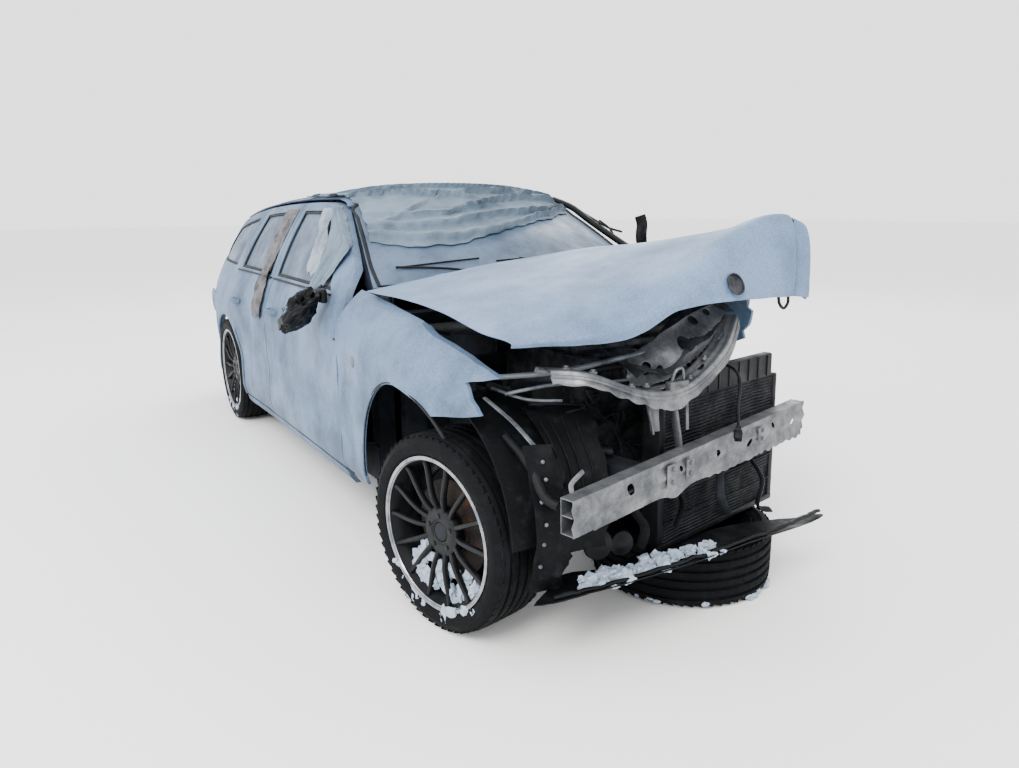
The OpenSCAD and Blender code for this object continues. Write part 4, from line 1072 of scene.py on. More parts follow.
    def lining(self, side: Side, tag: str, y0: float, y1: float, outline: Sequence[Point],
            hinge: float) -> None:
        """Inner box of a door with an armrest, a pocket and a grab handle."""
        s = Shape
        piece = Bench.obj(tag + "_lining", self.shell(side, y0, y1, s.sill + 20, self.skin - 2, self.box,
            low_only=True), 40)
        shrunk = [(min(max(y, y0 + 20), y1 - 20), max(z, s.sill + 20)) for y, z in outline]
        self.trim(piece, side, shrunk)
        self.notch(piece, side, 600, 900, hinge)
        self.soften(piece, 5)
        Dresser.dress(piece, tag, PLASTIC, "black_plastic")
        x = s.side((y0 + y1) / 2, 600) - self.box
        frame = self.frame(side)
        parts = [Bench.block((x - 44, y0 + 330, 640), (x + 4, y1 - 170, 690), 14, frame),
            Bench.block((x - 26, y0 + 130, 300), (x + 4, y1 - 240, 420), 12, frame),
            Bench.rod([(x + 2, y0 + 360, 700), (x - 30, y0 + 400, 735), (x - 34, y0 + 480, 770),
            (x + 2, y0 + 540, 800)], 11, frame)]
        knob = Bench.place(Bench.drum(62, 0, 12, 40, 3), Matrix.Translation((x - 10, y0 + 250, 500)) @ TO_X,
            frame)
        trim = Bench.join(tag + "_armrest", [*parts, knob], 40)
        Dresser.dress(trim, tag, SEAT_EDGE, "black_plastic")

    def window(self, side: Side, tag: str, glass: str, y0: float, y1: float, front: bool) -> None:
        """Frosted pane, its rubber seal and the trim along the belt."""
        get = self.front_window if front else self.rear_window
        self.glaze(side, tag, (glass + "_pane", tag + "_seal"), (y0, y1), get, (14, 20), (4, 13, 13), glass)
        ys = [Shape.mix(y0 + (190 if front else 20), y1 - 16, i / 10) for i in range(11)]
        belt = [(Shape.side(y, Shape.belt(y) + 12) + 3, y, Shape.belt(y) + 12) for y in ys]
        strip = Bench.obj(tag + "_belt_trim", Bench.rod(belt, 8, self.frame(side), 8, 1, 0.6))
        Dresser.dress(strip, tag, FROST_TRIM, "black_plastic")

    def handle(self, side: Side, tag: str, y: float) -> None:
        """Outer door handle over its shallow cup."""
        s, z = Shape, 805
        frame = self.frame(side)
        x = s.side(y, z)
        grip = Bench.rod([(x - 4, y - 84, z), (x + 16, y - 66, z + 1), (x + 25, y - 20, z + 3),
            (x + 24, y + 34, z + 3), (x - 4, y + 60, z + 2)], 10, frame, 12, 6, 1.5)
        lock = Bench.place(Bench.drum(13, -2, 5, 24, 2), Matrix.Translation((x + 1, y + 88, z)) @ TO_X, frame)
        Dresser.dress(Bench.join(tag + "_handle", [grip, lock], 50), tag, FROST, "paint")

    def quarter(self, side: Side) -> None:
        """Rear quarter with its wheel arch lip, window and filler flap."""
        s, tag = Shape, "quarter_" + side.name.lower()
        y0 = s.rear_door + s.gap
        top = self.under_rail(y0, s.roof_back - 40, 20, 20)
        r = s.arch + 48 + s.gap
        lead = self.arc(s.wheelbase, s.tyre, r, 192, 118, 10)
        outline = [(s.wheelbase - 395, s.sill + 10), *[p for p in lead if p[0] < y0], *top,
            *reversed(self.tail_marks()[:-1]), (s.tail - 320, 600), (s.wheelbase + 420, s.sill + 60),
            (s.wheelbase + 300, s.sill)]
        panel = Bench.obj(tag + "_skin", self.shell(side, s.rear_door - 80, s.tail - 90, 215, 0, 26))
        self.trim(panel, side, outline, self.arch_cut(s.wheelbase), self.quarter_window())
        self.soften(panel, 2.2)
        Dresser.dress(panel, "body", FROST, "paint")
        frame = self.frame(side)
        lip = [(s.side(y, z) - 7, y, z) for y, z in self.arc(s.wheelbase, s.tyre, s.arch - 3, -12, 196, 40)]
        flap = Bench.place(Bench.drum(78, -3, 3, 48, 2),
            Matrix.Translation((s.side(3220, 760) + 0.5, 3220, 760)) @ TO_X, frame)
        extras = [Bench.rod(lip, 9, frame, 8, 1)]
        if side is Side.RIGHT:
            extras.append(flap)
        Dresser.dress(Bench.join(tag + "_arch_lip", extras, 40), "body", FROST, "paint")
        self.glaze(side, "body", (tag + "_pane", tag + "_seal"), (s.rear_door, s.tail - 380),
            self.quarter_window, (12, 18), (4, 11.5, 12))
        Dresser.dress(self.jamb(side), "body", FROST, "paint")

    def jamb(self, side: Side) -> Piece:
        """Corner of the body between a quarter and the tailgate."""
        s = Shape
        top = s.rail_z(s.roof_back - 40) - 24
        waist = (s.gate_waist - s.gate_low) / (top - s.gate_low)

        def back(z: float) -> float:
            marks = self.tail_marks()
            for (y0, z0), (y1, z1) in zip(marks, marks[1:]):
                if z <= z1:
                    return s.mix(y0, y1, (z - z0) / (z1 - z0))
            return marks[-1][0]

        def face(u: float, v: float, depth: float) -> Vector:
            z = s.mix(s.gate_low, top, v)
            roof = s.roof(520, s.roof_back - s.tail_curve(520)) - 4
            t = 0.5 * v / waist if v < waist else 0.5 + 0.5 * (z - s.gate_waist) / (roof - s.gate_waist)
            g = s.gate(1, min(1.0, t))
            a, b = Vector((g[0] + 12, g[1], z)), Vector((s.side(back(z), z) - 2, back(z), z))
            bow = 10 * math.sin(math.pi * u)
            p = a.lerp(b, u) + Vector((bow * 0.5, bow * 0.6, 0)) - Vector((14 * u, 18, 0)) * depth
            return self.row(side, p)

        return Bench.obj("tail_corner_" + side.name.lower(), Bench.slab(12, 40, face, 1), 40)

    def skirt(self, side: Side) -> None:
        """Sill skirt under the doors."""
        def spot(u: float, v: float, deep: float) -> Vector:
            y, z = Shape.mix(Shape.front_door - 30, 2440, u), Shape.mix(170, 229, v)
            x = (Shape.side(y, Shape.sill) + 2 - 34 * (1 - v) ** 1.6 - 5 * max(0, wrinkle((y, z, 0), 160, 6))
                - 4 * Shape.bump(v, 0.8, 0.1))
            return self.row(side, (x - deep, y, z))

        piece = Bench.obj("skirt_" + side.name.lower(), Bench.slab(110, 10, spot, 22), 40)
        Dresser.dress(piece, "body", FROST, "paint")

    def build(self) -> None:
        """Builds both sides."""
        for side in Side:
            self.skirt(side)
            for front in (True, False):
                self.door(side, front)
            self.quarter(side)
        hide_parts("quarter_panels")


# ---------------------------------------------------------------- body


@dataclass
class Shell:
    """Roof, screen, wings, bonnet, tailgate, bumper and lamps."""

    roof_thickness: float = 30.0
    wing_thickness: float = 14.0
    bonnet_rows: tuple[tuple[Point, ...], ...] = (
        ((-800, 485, 990), (-550, 445, 1030), (-300, 415, 1072), (20, 400, 1100),
         (330, 410, 1080), (590, 440, 1020), (730, 470, 975)),
        ((-802, 170, 986), (-552, 160, 1032), (-262, 140, 1088), (45, 130, 1138),
         (335, 140, 1108), (580, 170, 1034), (715, 200, 970)),
        ((-805, -180, 968), (-560, -170, 1020), (-270, -170, 1084), (60, -170, 1160),
         (320, -160, 1150), (530, -120, 1082), (620, -80, 992)),
        ((-792, -410, 925), (-550, -470, 966), (-280, -490, 1056), (68, -450, 1186),
         (300, -450, 1210), (455, -420, 1132), (500, -380, 1022)),
        ((-762, -525, 905), (-500, -632, 930), (-252, -655, 1020), (80, -615, 1200),
         (290, -605, 1236), (425, -580, 1186), (466, -555, 1082)),
        ((-756, -530, 886), (-440, -650, 896), (-242, -672, 975), (10, -690, 988),
         (220, -690, 984), (396, -630, 974), (462, -570, 1000)),
    )

    def roof(self) -> None:
        """Roof skin with its drip rails."""
        s = Shape

        def cell(u: float, t: float, share: float) -> Point:
            a = 2 * u - 1
            y = s.mix(s.header(a * 600), s.roof_back - s.tail_curve(a * 600 * share), t)
            x = a * share * (s.rail_x(y) - 2)
            return (x, y, s.roof(x, y))

        def top(u: float, v: float) -> Vector:
            x, y, z = cell(u, v, 1.0)
            return s.row((x, y, z - 1.5 * max(0, wrinkle((x, y, 0), 200, 2))))

        def under(u: float, v: float) -> Vector:
            x, y, z = cell(u, v, 0.985)
            return s.row((x, y, z - self.roof_thickness * (1 - 0.72 * abs(2 * u - 1))))

        piece = Bench.obj("roof_skin", Bench.wall(72, 90, top, under), 40)
        Dresser.dress(piece, "body", FROST, "paint", "roof")
        strips = []
        for a in (-1, 1):
            line = [(a * (s.rail_x(y) - 60), y, s.roof(s.rail_x(y) - 60, y) + 0.5)
                for y in range(1290, 3300, 100)]
            strips.append(Bench.rod(line, 5, None, 8, 1, 0.5))
        Dresser.dress(Bench.join("roof_drip_strips", strips), "body", FROST_TRIM, "black_plastic")

    def screen(self) -> None:
        """Windscreen with its dark border and its wipers."""
        s = Shape
        glass = Bench.obj("windscreen", Bench.wall(48, 36, lambda u, v: s.row(s.screen(2 * u - 1, v)),
            lambda u, v: s.row(Vector(s.screen(2 * u - 1, v)) - Vector((0, -3.6, 4.8)))))
        Dresser.dress(glass, "body", PANE, "glazing", "fixed_glass")
        edge = [s.screen(u, 0.012) for u in (-0.97, -0.6, -0.2, 0.2, 0.6, 0.97)]
        edge += ([s.screen(0.985, t) for t in (0.2, 0.4, 0.6, 0.8)]
            + [s.screen(u, 0.985) for u in (0.97, 0.5, 0, -0.5, -0.97)])
        edge += [s.screen(-0.985, t) for t in (0.8, 0.6, 0.4, 0.2)] + [s.screen(-0.97, 0.012)]
        frame = Bench.rod([(x, y - 2, z + 2) for x, y, z in edge], 9, None, 8, 4, 0.4)
        Dresser.dress(Bench.obj("windscreen_seal", frame), "body", FROST_TRIM, "black_plastic")
        arms = []
        for root, tip in ((0.42, -0.1), (-0.3, -0.86)):
            a, b = s.screen(root, 0.02), s.screen(tip, 0.16)
            arms.append(Bench.rod([(a[0], a[1] - 8, a[2] + 14),
                ((a[0] + b[0]) / 2, (a[1] + b[1]) / 2 - 10, (a[2] + b[2]) / 2 + 22),
                (b[0], b[1] - 6, b[2] + 10)], 5, None, 8, 5))
            ends = [s.screen(tip + d, 0.16 + d * 0.05) for d in (-0.16, 0, 0.3, 0.5)]
            arms.append(Bench.rod([(x, y - 5, z + 7) for x, y, z in ends if abs(x) < 640], 4, None, 8, 3))
        Dresser.dress(Bench.join("wipers", arms), "body", PLASTIC, "black_plastic")

    def wing_wall(self, side: Side, y0: float, y1: float, near: float, far: float) -> Mesh:
        """Curved wall of a front wing."""
        s = Shape

        def spot(u: float, v: float, depth: float, dents: float) -> Vector:
            y = s.mix(y0, y1, u)
            z = s.mix(240, s.wing_top(y), v**0.9)
            d = (depth + dents * (max(0.0, wrinkle((0, y, z), 150, 5)) * 7
                + 9 * s.bump(y, -380, 90) * max(0, wrinkle((0, y, z), 60, 9))))
            d += dents * (4 * s.bump(y, 560, 60) * s.bump(z, 840, 60) - 3 * Shape.crease(z, 765, 22))
            roll = max(0.0, v - 0.86) / 0.14
            return s.row((side.value * (s.wing(y, z) - d), y, z - depth * roll * 0.8))

        return Bench.wall(round((y1 - y0) / 13), 46, lambda u, v: spot(u, v, near, 1),
            lambda u, v: spot(u, v, far, 0))

    def wings(self) -> None:
        """Right wing with its torn nose, and the torn rear of the left one."""
        s = Shape
        right = Bench.obj("wing_right_skin", self.wing_wall(Side.RIGHT, -530, s.front_door - s.gap, 0,
            self.wing_thickness))
        torn = [(-452, 783), (-370, 809), (-300, 832), (-200, 858), (-110, 876), (0, 905), (60, 1100),
            (643, 1100), (643, 245), (250, 245), (0, 600), (-230, 640), (-300, 652), (-380, 662), (-445, 676),
            (-424, 698), (-400, 716), (-372, 748), (-355, 762), (-372, 767), (-410, 772)]
        sides = SidePanels()
        sides.trim(right, Side.RIGHT, torn, sides.arch_cut(0))
        sides.soften(right, 2.0)
        Dresser.dress(right, "body", FROST, "paint", "wing_right")
        lip = [(-(s.wing(y, z) - 7), y, z) for y, z in SidePanels.arc(0, s.tyre, s.arch + 5, -8, 146, 34)]
        badge = Bench.place(Bench.drum(22, -2, 3, 32, 1.5),
            Matrix.Translation((-(s.wing(430, 722) + 1), 430, 722)) @ TO_X, s.row)
        Dresser.dress(Bench.obj("wing_right_arch_lip", Bench.rod(lip, 6, None, 8, 1), 45), "body", FROST_TRIM,
            "black_plastic")
        Dresser.dress(Bench.obj("wing_right_disc", badge, 45), "body", PALE_STRIP, "bare_alloy")
        left = Bench.obj("wing_left_skin", self.wing_wall(Side.LEFT, 20, s.front_door - s.gap, 0,
            self.wing_thickness))
        rip = [(60, 800), (44, 824), (62, 842), (20, 880), (75, 1100), (643, 1100), (643, 245), (250, 245),
            (262, 300), (238, 360), (258, 430), (250, 500), (210, 560), (186, 572), (150, 640), (105, 690),
            (118, 722), (88, 750)]
        sides.trim(left, Side.LEFT, rip, sides.arch_cut(0))
        sides.soften(left, 2.0)
        Dresser.dress(left, "body", FROST, "paint", "wing_left")

    def hood(self, u: float, v: float) -> Vector:
        """Point of the bonnet's upper face in millimetres, u across and v from the back to the nose."""
        def along(points: Sequence[Point], t: float) -> Vector:
            n = len(points) - 1
            i = min(n - 1, int(t * n))
            pick = [Vector(points[min(n, max(0, i + k))]) for k in (-1, 0, 1, 2)]
            return spline(*pick, t * n - i)

        p = along([along(row, u) for row in self.bonnet_rows], v)
        fold = 16 * math.exp(-abs(u - 0.5 - 0.06 * math.sin(4 * v)) / 0.03) * max(0.0, v - 0.3)
        torn = Shape.clamp((v - 0.42) / 0.25)
        crumple = (wrinkle(p, 120, 1) * 9 * max(0.0, v - 0.35) + wrinkle(p, 45, 4) * 5 * max(0.0, v - 0.62)
            + wrinkle(p, 330, 2) * 6)
        crumple += torn * (12 * Shape.bump(u, 0.925, 0.022) - 26 * Shape.bump(u, 0.855, 0.017)
            - 12 * Shape.bump(u, 0.965, 0.012))
        p.x -= torn * max(0.0, (u - 0.86) / 0.14) * (52 * abs(wrinkle((v * 900, 0, 0), 62, 3))
            + 16 * abs(wrinkle((v * 900, 0, 0), 21, 5)))
        face = Shape.clamp((v - 0.7) / 0.1)
        bend = 0.705 + 0.02 * math.sin(9 * v)
        p.y += face * (34 * Shape.crease(u, bend, 0.016) - 14 * math.exp(-(((u - bend - 0.06) / 0.022) ** 2))
            + 26 * math.exp(-abs(u - bend - 0.13) / 0.016) + 80 * max(0.0, u - bend)
            - 8 * math.exp(-(((u - bend - 0.2) / 0.02) ** 2)))
        ridge = 7 * (Shape.bump(u, 0.2, 0.02) + Shape.bump(u, 0.8, 0.02)) * (1 - 0.4 * v)
        panel = -9 * max(0.0, 1 - ((v - 0.84) / 0.06) ** 2) * math.exp(-(((u - 0.62) / 0.22) ** 4))
        return p + Vector((0, 0, (crumple + panel) * 0.8 - 4 + 0.4 * ridge - 0.5 * fold))

    def bonnet(self) -> None:
        """Crumpled bonnet with its inner frame, bare badge disc, latch loop and torn edge."""
        s = Shape

        def skin(u: float, v: float, depth: float) -> Vector:
            p = self.hood(u, v)
            a, b = self.hood(min(1, u + 0.01), v), self.hood(u, min(1, v + 0.01))
            c, d = self.hood(max(0, u - 0.01), v), self.hood(u, max(0, v - 0.01))
            n = (a - c).cross(d - b).normalized()
            n = n if n.z > 0 or v > 0.8 else -n
            return s.row(p - n * depth)

        shell = Bench.obj("bonnet_skin", Bench.slab(96, 90, skin, 2.4), 50)
        # The bonnet skin takes the lighter copy of the frosted paint, which is painted light on its top.
        Dresser.dress(shell, "bonnet", FROST_LIT_TOP, "paint", "bonnet")
        ribs = []
        for line in ([(0.06, v) for v in (0.03, 0.2, 0.4, 0.6, 0.78)],
                [(0.94, v) for v in (0.03, 0.2, 0.4, 0.6, 0.74)],
                [(u, 0.05) for u in (0.08, 0.3, 0.5, 0.7, 0.92)], [(0.1, 0.1), (0.3, 0.4), (0.45, 0.72)],
                [(0.9, 0.1), (0.7, 0.4), (0.56, 0.72)], [(u, 0.76) for u in (0.1, 0.3, 0.5, 0.7, 0.88)]):
            dense = curve([(u, v, 0) for u, v in line], 6)
            ribs.append(Bench.rod([tuple(self.hood(u, v) - Vector((0, 0, 17))) for u, v, _ in dense], 11,
                None, 8, 1))
        Dresser.dress(Bench.join("bonnet_frame", ribs, 50), "bonnet", INNER_PAINT, "primer_steel")
        badge = self.stand(self.hood(0.46, 0.935) + Vector((0, -6, 2)), (0.05, -0.9, 0.42))
        disc = Bench.place(Bench.drum(31, -3, 4, 48, 1.6), badge, s.row)
        ring = Bench.place(Bench.lathe([(31, 2), (36, 2), (36, 6), (31, 6)], 48), badge, s.row)
        Dresser.dress(Bench.join("bonnet_badge_disc", [disc, ring], 40), "bonnet", CAST, "bare_alloy")
        nose = self.hood(0.66, 0.985)
        loop = Bench.rod([tuple(nose + Vector(d))
            for d in ((-26, 24, -2), (-24, 20, -34), (-4, 18, -52), (18, 20, -34), (20, 24, -2))], 5, None,
            10, 6)
        hooks = []
        for v in (0.62, 0.72, 0.8, 0.88, 0.95):
            a = self.hood(0.985, v)
            hooks.append(Bench.rod([tuple(a + Vector((-18, 0, -4))), tuple(a + Vector((2, -6, -16))),
                tuple(a + Vector((-8, -8, -40)))], 5, None, 8, 5, 2.0))
        Dresser.dress(Bench.join("bonnet_latch_loop", [loop, *hooks], 50), "bonnet", IRON, "rusty_iron")

    @staticmethod
    def stand(at: Point, normal: Point) -> Matrix:
        """Place whose Z axis points along normal."""
        return Matrix.Translation(at) @ Vector(normal).to_track_quat("Z", "Y").to_matrix().to_4x4()

    def gate_window(self, inset: float) -> list[Point]:
        """Outline of the tailgate window as (x, z)."""
        s = Shape
        half, low, high = s.gate_half - 62 - inset, s.gate_waist + 24 + inset, s.roof_height - 158 - inset
        return [(-half, low), (half, low), (half - 62, high), (half - 200, high + 26),
            (200 - half, high + 26), (62 - half, high)]

    def tailgate(self) -> None:
        """Tailgate with its glass, handle strip, blank plate and wiper."""
        s = Shape
        sideways = lambda p: s.row((p[1], p[0], p[2]))

        def spot(u: float, v: float, depth: float) -> Vector:
            a = 2 * u - 1
            x, y, z = s.gate(a * (1 - 0.02 * (depth > 10)), v)
            dent = (0 if depth > 10 else 2.5 * max(0, wrinkle((x, 0, z), 200, 3))
                + 9 * math.exp(-(((v - 0.3) / 0.1) ** 4)) * math.exp(-((a / 0.5) ** 6)))
            full = s.mix(44, 27, max(0.0, 2 * v - 1))
            back = full if depth > 10 else depth
            return s.row((x, y - back - dent, z - (4 if v > 0.999 and depth > 10 else 0)))

        door = Bench.obj("tailgate_skin", Bench.slab(80, 84, spot, 44))
        Bench.carve(door, Bench.prism(self.gate_window(0), 3200, 3950, sideways), Cut.REMOVE)
        for x in (-312, 298):
            lug = Bench.block((x, 3400, 1290), (x + 14, 3490, 1392))
            Bench.carve(door, Bench.obj("cutter", lug), Cut.REMOVE)
        SidePanels().soften(door, 2.5)
        Dresser.dress(door, "tailgate", FROST, "paint", "tailgate")
        pane = Bench.obj("tailgate_pane", Bench.wall(60, 40, lambda u, v: spot(u, 0.48 + 0.52 * v, 7),
            lambda u, v: spot(u, 0.48 + 0.52 * v, 9.9) - Vector((0, 0.003, 0))))
        Bench.carve(pane, Bench.prism(self.gate_window(0.3), 3200, 3950, sideways), Cut.KEEP)
        Dresser.dress(pane, "tailgate", PANE, "glazing", "tailgate_glass")
        line = lambda u, t, out: Vector(s.gate(u, t)) + Vector((0, out, 0))
        strip = [tuple(line(u, 0.41, 4)) for u in (-0.5, -0.25, 0, 0.25, 0.5)]
        wiper = [tuple(line(0, 0.53, 6)), tuple(line(0.12, 0.56, 14)), tuple(line(0.5, 0.6, 10))]
        grip = Bench.rod(strip, 14, None, 12, 5, 0.6)
        hub = Bench.place(Bench.drum(20, -4, 14, 32, 3), self.stand(line(0, 0.52, 4), (0, 1, 0.2)), s.row)
        Dresser.dress(Bench.join("tailgate_handle", [grip, Bench.rod(wiper, 6, None, 8, 5), hub], 45),
            "tailgate", FROST_TRIM, "black_plastic")
        blank = lambda u, v, deep: s.row(line((u - 0.5) * 0.9, 0.24 + 0.1 * v, -3 - deep))
        Dresser.dress(Bench.obj("blank_plate", Bench.slab(24, 6, blank, 6)), "tailgate", PALE_STRIP,
            "bare_alloy")

    def rear(self) -> None:
        """Rear bumper and tail lamps."""
        s = Shape

        def spot(u: float, v: float, deep: float) -> Vector:
            a, z = 2 * u - 1, s.mix(250, 612, v)
            x = 700 * a * (1 - 0.01 * (deep > 0))
            groove = 7 * Shape.bump(z, 505, 10) + 3 * max(0, wrinkle((x, 0, z), 120, 8)) if deep == 0 else 0
            return s.row((x, 3898 - s.tail_curve(x) - 30 * ((z - 430) / 180) ** 2 - 130 * abs(a) ** 5 - deep
                - groove, z))

        piece = Bench.obj("rear_bumper_skin", Bench.slab(100, 40, spot, 60))
        SidePanels().soften(piece, 5)
        Dresser.dress(piece, "body", FROST, "paint", "rear_bumper")
        lamps, rims = [], []
        for a in (-1, 1):
            def lens(u: float, v: float, out: float) -> Vector:
                return Vector(s.gate(a * (0.66 + 0.31 * u), 0.24 + 0.2 * v)) + Vector((0, out, 0))

            bow = lambda u, v: 12 * (1 - (2 * u - 1) ** 6) * (1 - (2 * v - 1) ** 6)
            lamps.append(Bench.wall(24, 20, lambda u, v: s.row(lens(u, v, 1 + bow(u, v))),
                lambda u, v: s.row(lens(u, v, 0.2))))
            ends = [(0, 0), (1, 0), (1, 1), (0, 1), (0, 0)]
            for p, q in zip(ends, ends[1:]):
                path = [tuple(lens(s.mix(p[0], q[0], k / 4), s.mix(p[1], q[1], k / 4), 3)) for k in range(5)]
                rims.append(Bench.rod(path, 4, None, 6, 1))
        Dresser.dress(Bench.join("tail_lamp_lenses", lamps, 40), "body", LAMP_RED, "lamp_plastic",
            "tail_lamps")
        Dresser.dress(Bench.join("tail_lamp_rims", rims, 40), "body", FROST_TRIM, "black_plastic")

    def build(self) -> None:
        """Builds the whole shell."""
        self.roof()
        self.screen()
        self.wings()
        self.bonnet()
        self.tailgate()
        self.rear()


# ---------------------------------------------------------------- wheels


@dataclass
class Wheel:
    """A wheel and its tyre, about the local Z axis, which points outboard."""

    tyre: float = Shape.tyre
    half: float = 112.0
    flange: float = 259.0
    rim_half: float = 104.0
    bed: float = 240.0
    spokes: int = 14
    steps: int = 120

    def rubber(self, flat: float = 0.0) -> Mesh:
        """Tyre with grooves round it and across its shoulders.

        Args:
            flat: how far its sidewalls have sagged, from 0 to 1.

        Returns:
            The mesh, in millimetres.
        """
        h, r = self.half, self.tyre
        half = [(self.flange - 6, h - 22), (self.flange + 8, h - 6), (self.flange + 30, h - 1),
            (self.flange + 34, h + 1 - 3 * flat), (self.flange + 38, h - 1), (r - 26, h - 4),
            (r - 10, h - 14), (r - 3, h - 26)]
        tread = []
        for z in (70, 34, 0, -34, -70):
            tread += [(r - 1, z + 7), (r - 9, z + 5), (r - 9, z - 5), (r - 1, z - 7)]
        lower = [(a, -b) for a, b in reversed(half)]
        return Bench.lathe([*half, *tread, *lower, (self.flange - 16, -h + 24), (self.flange - 16, h - 24)],
            self.steps)

    def blocks(self) -> list[Mesh]:
        """Sipes between the grooves, as raised bars across the tread."""
        parts = []
        for i in range(60):
            turn = Matrix.Rotation(math.tau * i / 60, 4, "Z")
            for low, high, skew in ((-100, -80, 0.25), (-60, -44, -0.2), (-24, -8, 0.2), (8, 24, -0.2),
                    (44, 60, 0.2), (80, 100, -0.25)):
                bm = bmesh.new()
                bmesh.ops.create_cube(bm, size=1.0)
                bmesh.ops.scale(bm, vec=(4.0, 22, high - low), verts=bm.verts[:])
                tilt = Matrix.Rotation(skew, 4, "X")
                reach = self.tyre - 2.2 - (5 if abs(low) > 70 and abs(high) > 70 else 0)
                bmesh.ops.transform(bm, matrix=turn @ Matrix.Translation((reach, 0, (low + high) / 2)) @ tilt,
                    verts=bm.verts[:])
                parts.append(bm)
        return parts

    def rim(self) -> list[Mesh]:
        """Barrel, thin tapered spokes, hub, bolts and inner ring."""
        f, w, b = self.flange, self.rim_half, self.bed
        parts = [Bench.lathe([(f, w), (f, w - 5), (f - 10, w - 12), (b + 2, w - 22), (b - 6, w - 60),
            (b - 16, 10), (b - 10, -w + 30), (f - 8, -w + 8), (f, -w), (f - 4, -w), (b - 6, -w + 18),
            (b - 18, -w + 40), (b - 24, 8), (b - 16, w - 62), (b - 6, w - 30), (f - 14, w - 8), (f - 12, w)],
            self.steps)]
        for i in range(self.spokes):
            a = math.tau * i / self.spokes
            line = [(r * math.cos(a), r * math.sin(a), z)
                for r, z in ((70, 62), (110, 76), (150, 80), (190, 80), (222, 80), (242, 84))]
            spoke = Bench.rod(line, 9.5, lambda p: Vector(p) / 1000, 10, 3, 1.25)
            bmesh.ops.scale(spoke, vec=(1000, 1000, 1000), verts=spoke.verts[:])
            parts.append(spoke)
        parts.append(Bench.lathe([(84, 42), (86, 60), (80, 72), (66, 77), (44, 76), (40, 72), (34, 71),
            (34, 42)], 72))
        for i in range(5):
            bolt = Bench.drum(9, 66, 80, 6, 1.2)
            a = math.tau * (i + 0.3) / 5
            parts.append(Bench.place(bolt, Matrix.Translation((56 * math.cos(a), 56 * math.sin(a), 0))))
        return parts

    def cap(self) -> Mesh:
        """Plain centre cap."""
        return Bench.lathe([(0.01, 74), (22, 74), (30, 72), (33, 68), (33, 50), (0.01, 50)], 48)

    def lip(self) -> Mesh:
        """Bright machined edge of the rim."""
        f, w = self.flange, self.rim_half
        return Bench.lathe([(f + 0.6, w + 0.5), (f + 0.6, w - 4), (f - 13, w - 9), (f - 15, w - 5),
            (f - 11, w + 0.5)], self.steps)

    def snow(self, seed: int, low: Vector, share: float) -> list[Mesh]:
        """Snow packed between the lower spokes and on the lower bead.

        Args:
            seed: pattern of the lumps.
            low: direction of the ground in the wheel's own plane.
            share: share of the wheel that is packed.

        Returns:
            The lumps, in millimetres.
        """
        parts, rng = [], random.Random(seed)
        base = math.atan2(low.y, low.x)
        for i in range(round(46 * share)):
            a = base + rng.uniform(-1.0, 1.0) * 0.85
            r = rng.uniform(120, 232)
            size = (rng.uniform(14, 30), rng.uniform(14, 30), rng.uniform(8, 15))
            parts.append(Bench.lump((r * math.cos(a), r * math.sin(a), rng.uniform(56, 72)), size, i + seed,
                0.8, 2, lambda p: Vector(p)))
        for i in range(round(26 * share)):
            a = base + rng.uniform(-1.0, 1.0) * 0.95
            r = rng.uniform(258, 300)
            parts.append(Bench.lump((r * math.cos(a), r * math.sin(a), rng.uniform(100, 105)),
                (rng.uniform(10, 24), rng.uniform(10, 24), 6), i * 3 + seed, 0.8, 2, lambda p: Vector(p)))
        return parts

    def brake(self) -> Mesh:
        """Brake disc and hub flange behind the spokes."""
        return Bench.lathe([(165, -2), (165, 22), (90, 22), (86, 34), (40, 34), (40, 20), (60, 20), (70, 8),
            (80, -2)], 72)

    def shield(self) -> Mesh:
        """Dished dust shield behind the brake disc."""
        return Bench.lathe([(204, -16), (206, -30), (200, -34), (120, -30), (60, -24), (60, -18), (120, -22),
            (198, -26), (200, -16)], 72)

    def fit(self, tag: str, centre: Point, outboard: Point, body: str, wheel_node: str, tyre_node: str,
            seed: int, packed: float) -> None:
        """Builds one wheel at its place.

        Args:
            tag: start of the names of its pieces.
            centre: its middle, in millimetres over the ground.
            outboard: direction of its outer face.
            body: body that it turns with.
            wheel_node: frame node of the rim.
            tyre_node: frame node of the tyre.
            seed: pattern of its snow.
            packed: share of it that is packed with snow.
        """
        where = Shell.stand(centre, outboard)
        down = where.to_3x3().inverted() @ Vector((0, 0, -1))
        put = lambda bm: Bench.place(bm, where, Shape.ground)
        tyre = Bench.join(tag + "_tyre_rubber", [put(self.rubber(packed)), *[put(b) for b in self.blocks()]],
            30)
        Dresser.dress(tyre, body, RUBBER, "tyre", tyre_node)
        rim = Bench.join(tag + "_rim_spokes", [put(b) for b in self.rim()], 35)
        Dresser.dress(rim, body, RIM, "rim_black", wheel_node)
        singles = [("rim_lip", self.lip(), body, LIP, "bare_alloy"),
            ("centre_cap", self.cap(), body, FROST_TRIM, "rim_black")]
        if packed > 0:
            still = "steering" if body.startswith("front") else "body"
            singles += [("brake_disc", self.brake(), body, IRON, "rusty_iron"),
                ("dust_shield", self.shield(), still, FROST_TRIM, "black_plastic")]
        for name, part, carrier, finish, slot in singles:
            Dresser.dress(Bench.join(f"{tag}_{name}", [put(part)], 35), carrier, finish, slot)
        if packed > 0:
            snow = Bench.join(tag + "_packed_snow", [put(b) for b in self.snow(seed, down, packed)], 22)
            Dresser.dress(snow, body, SNOW, "primer_steel")


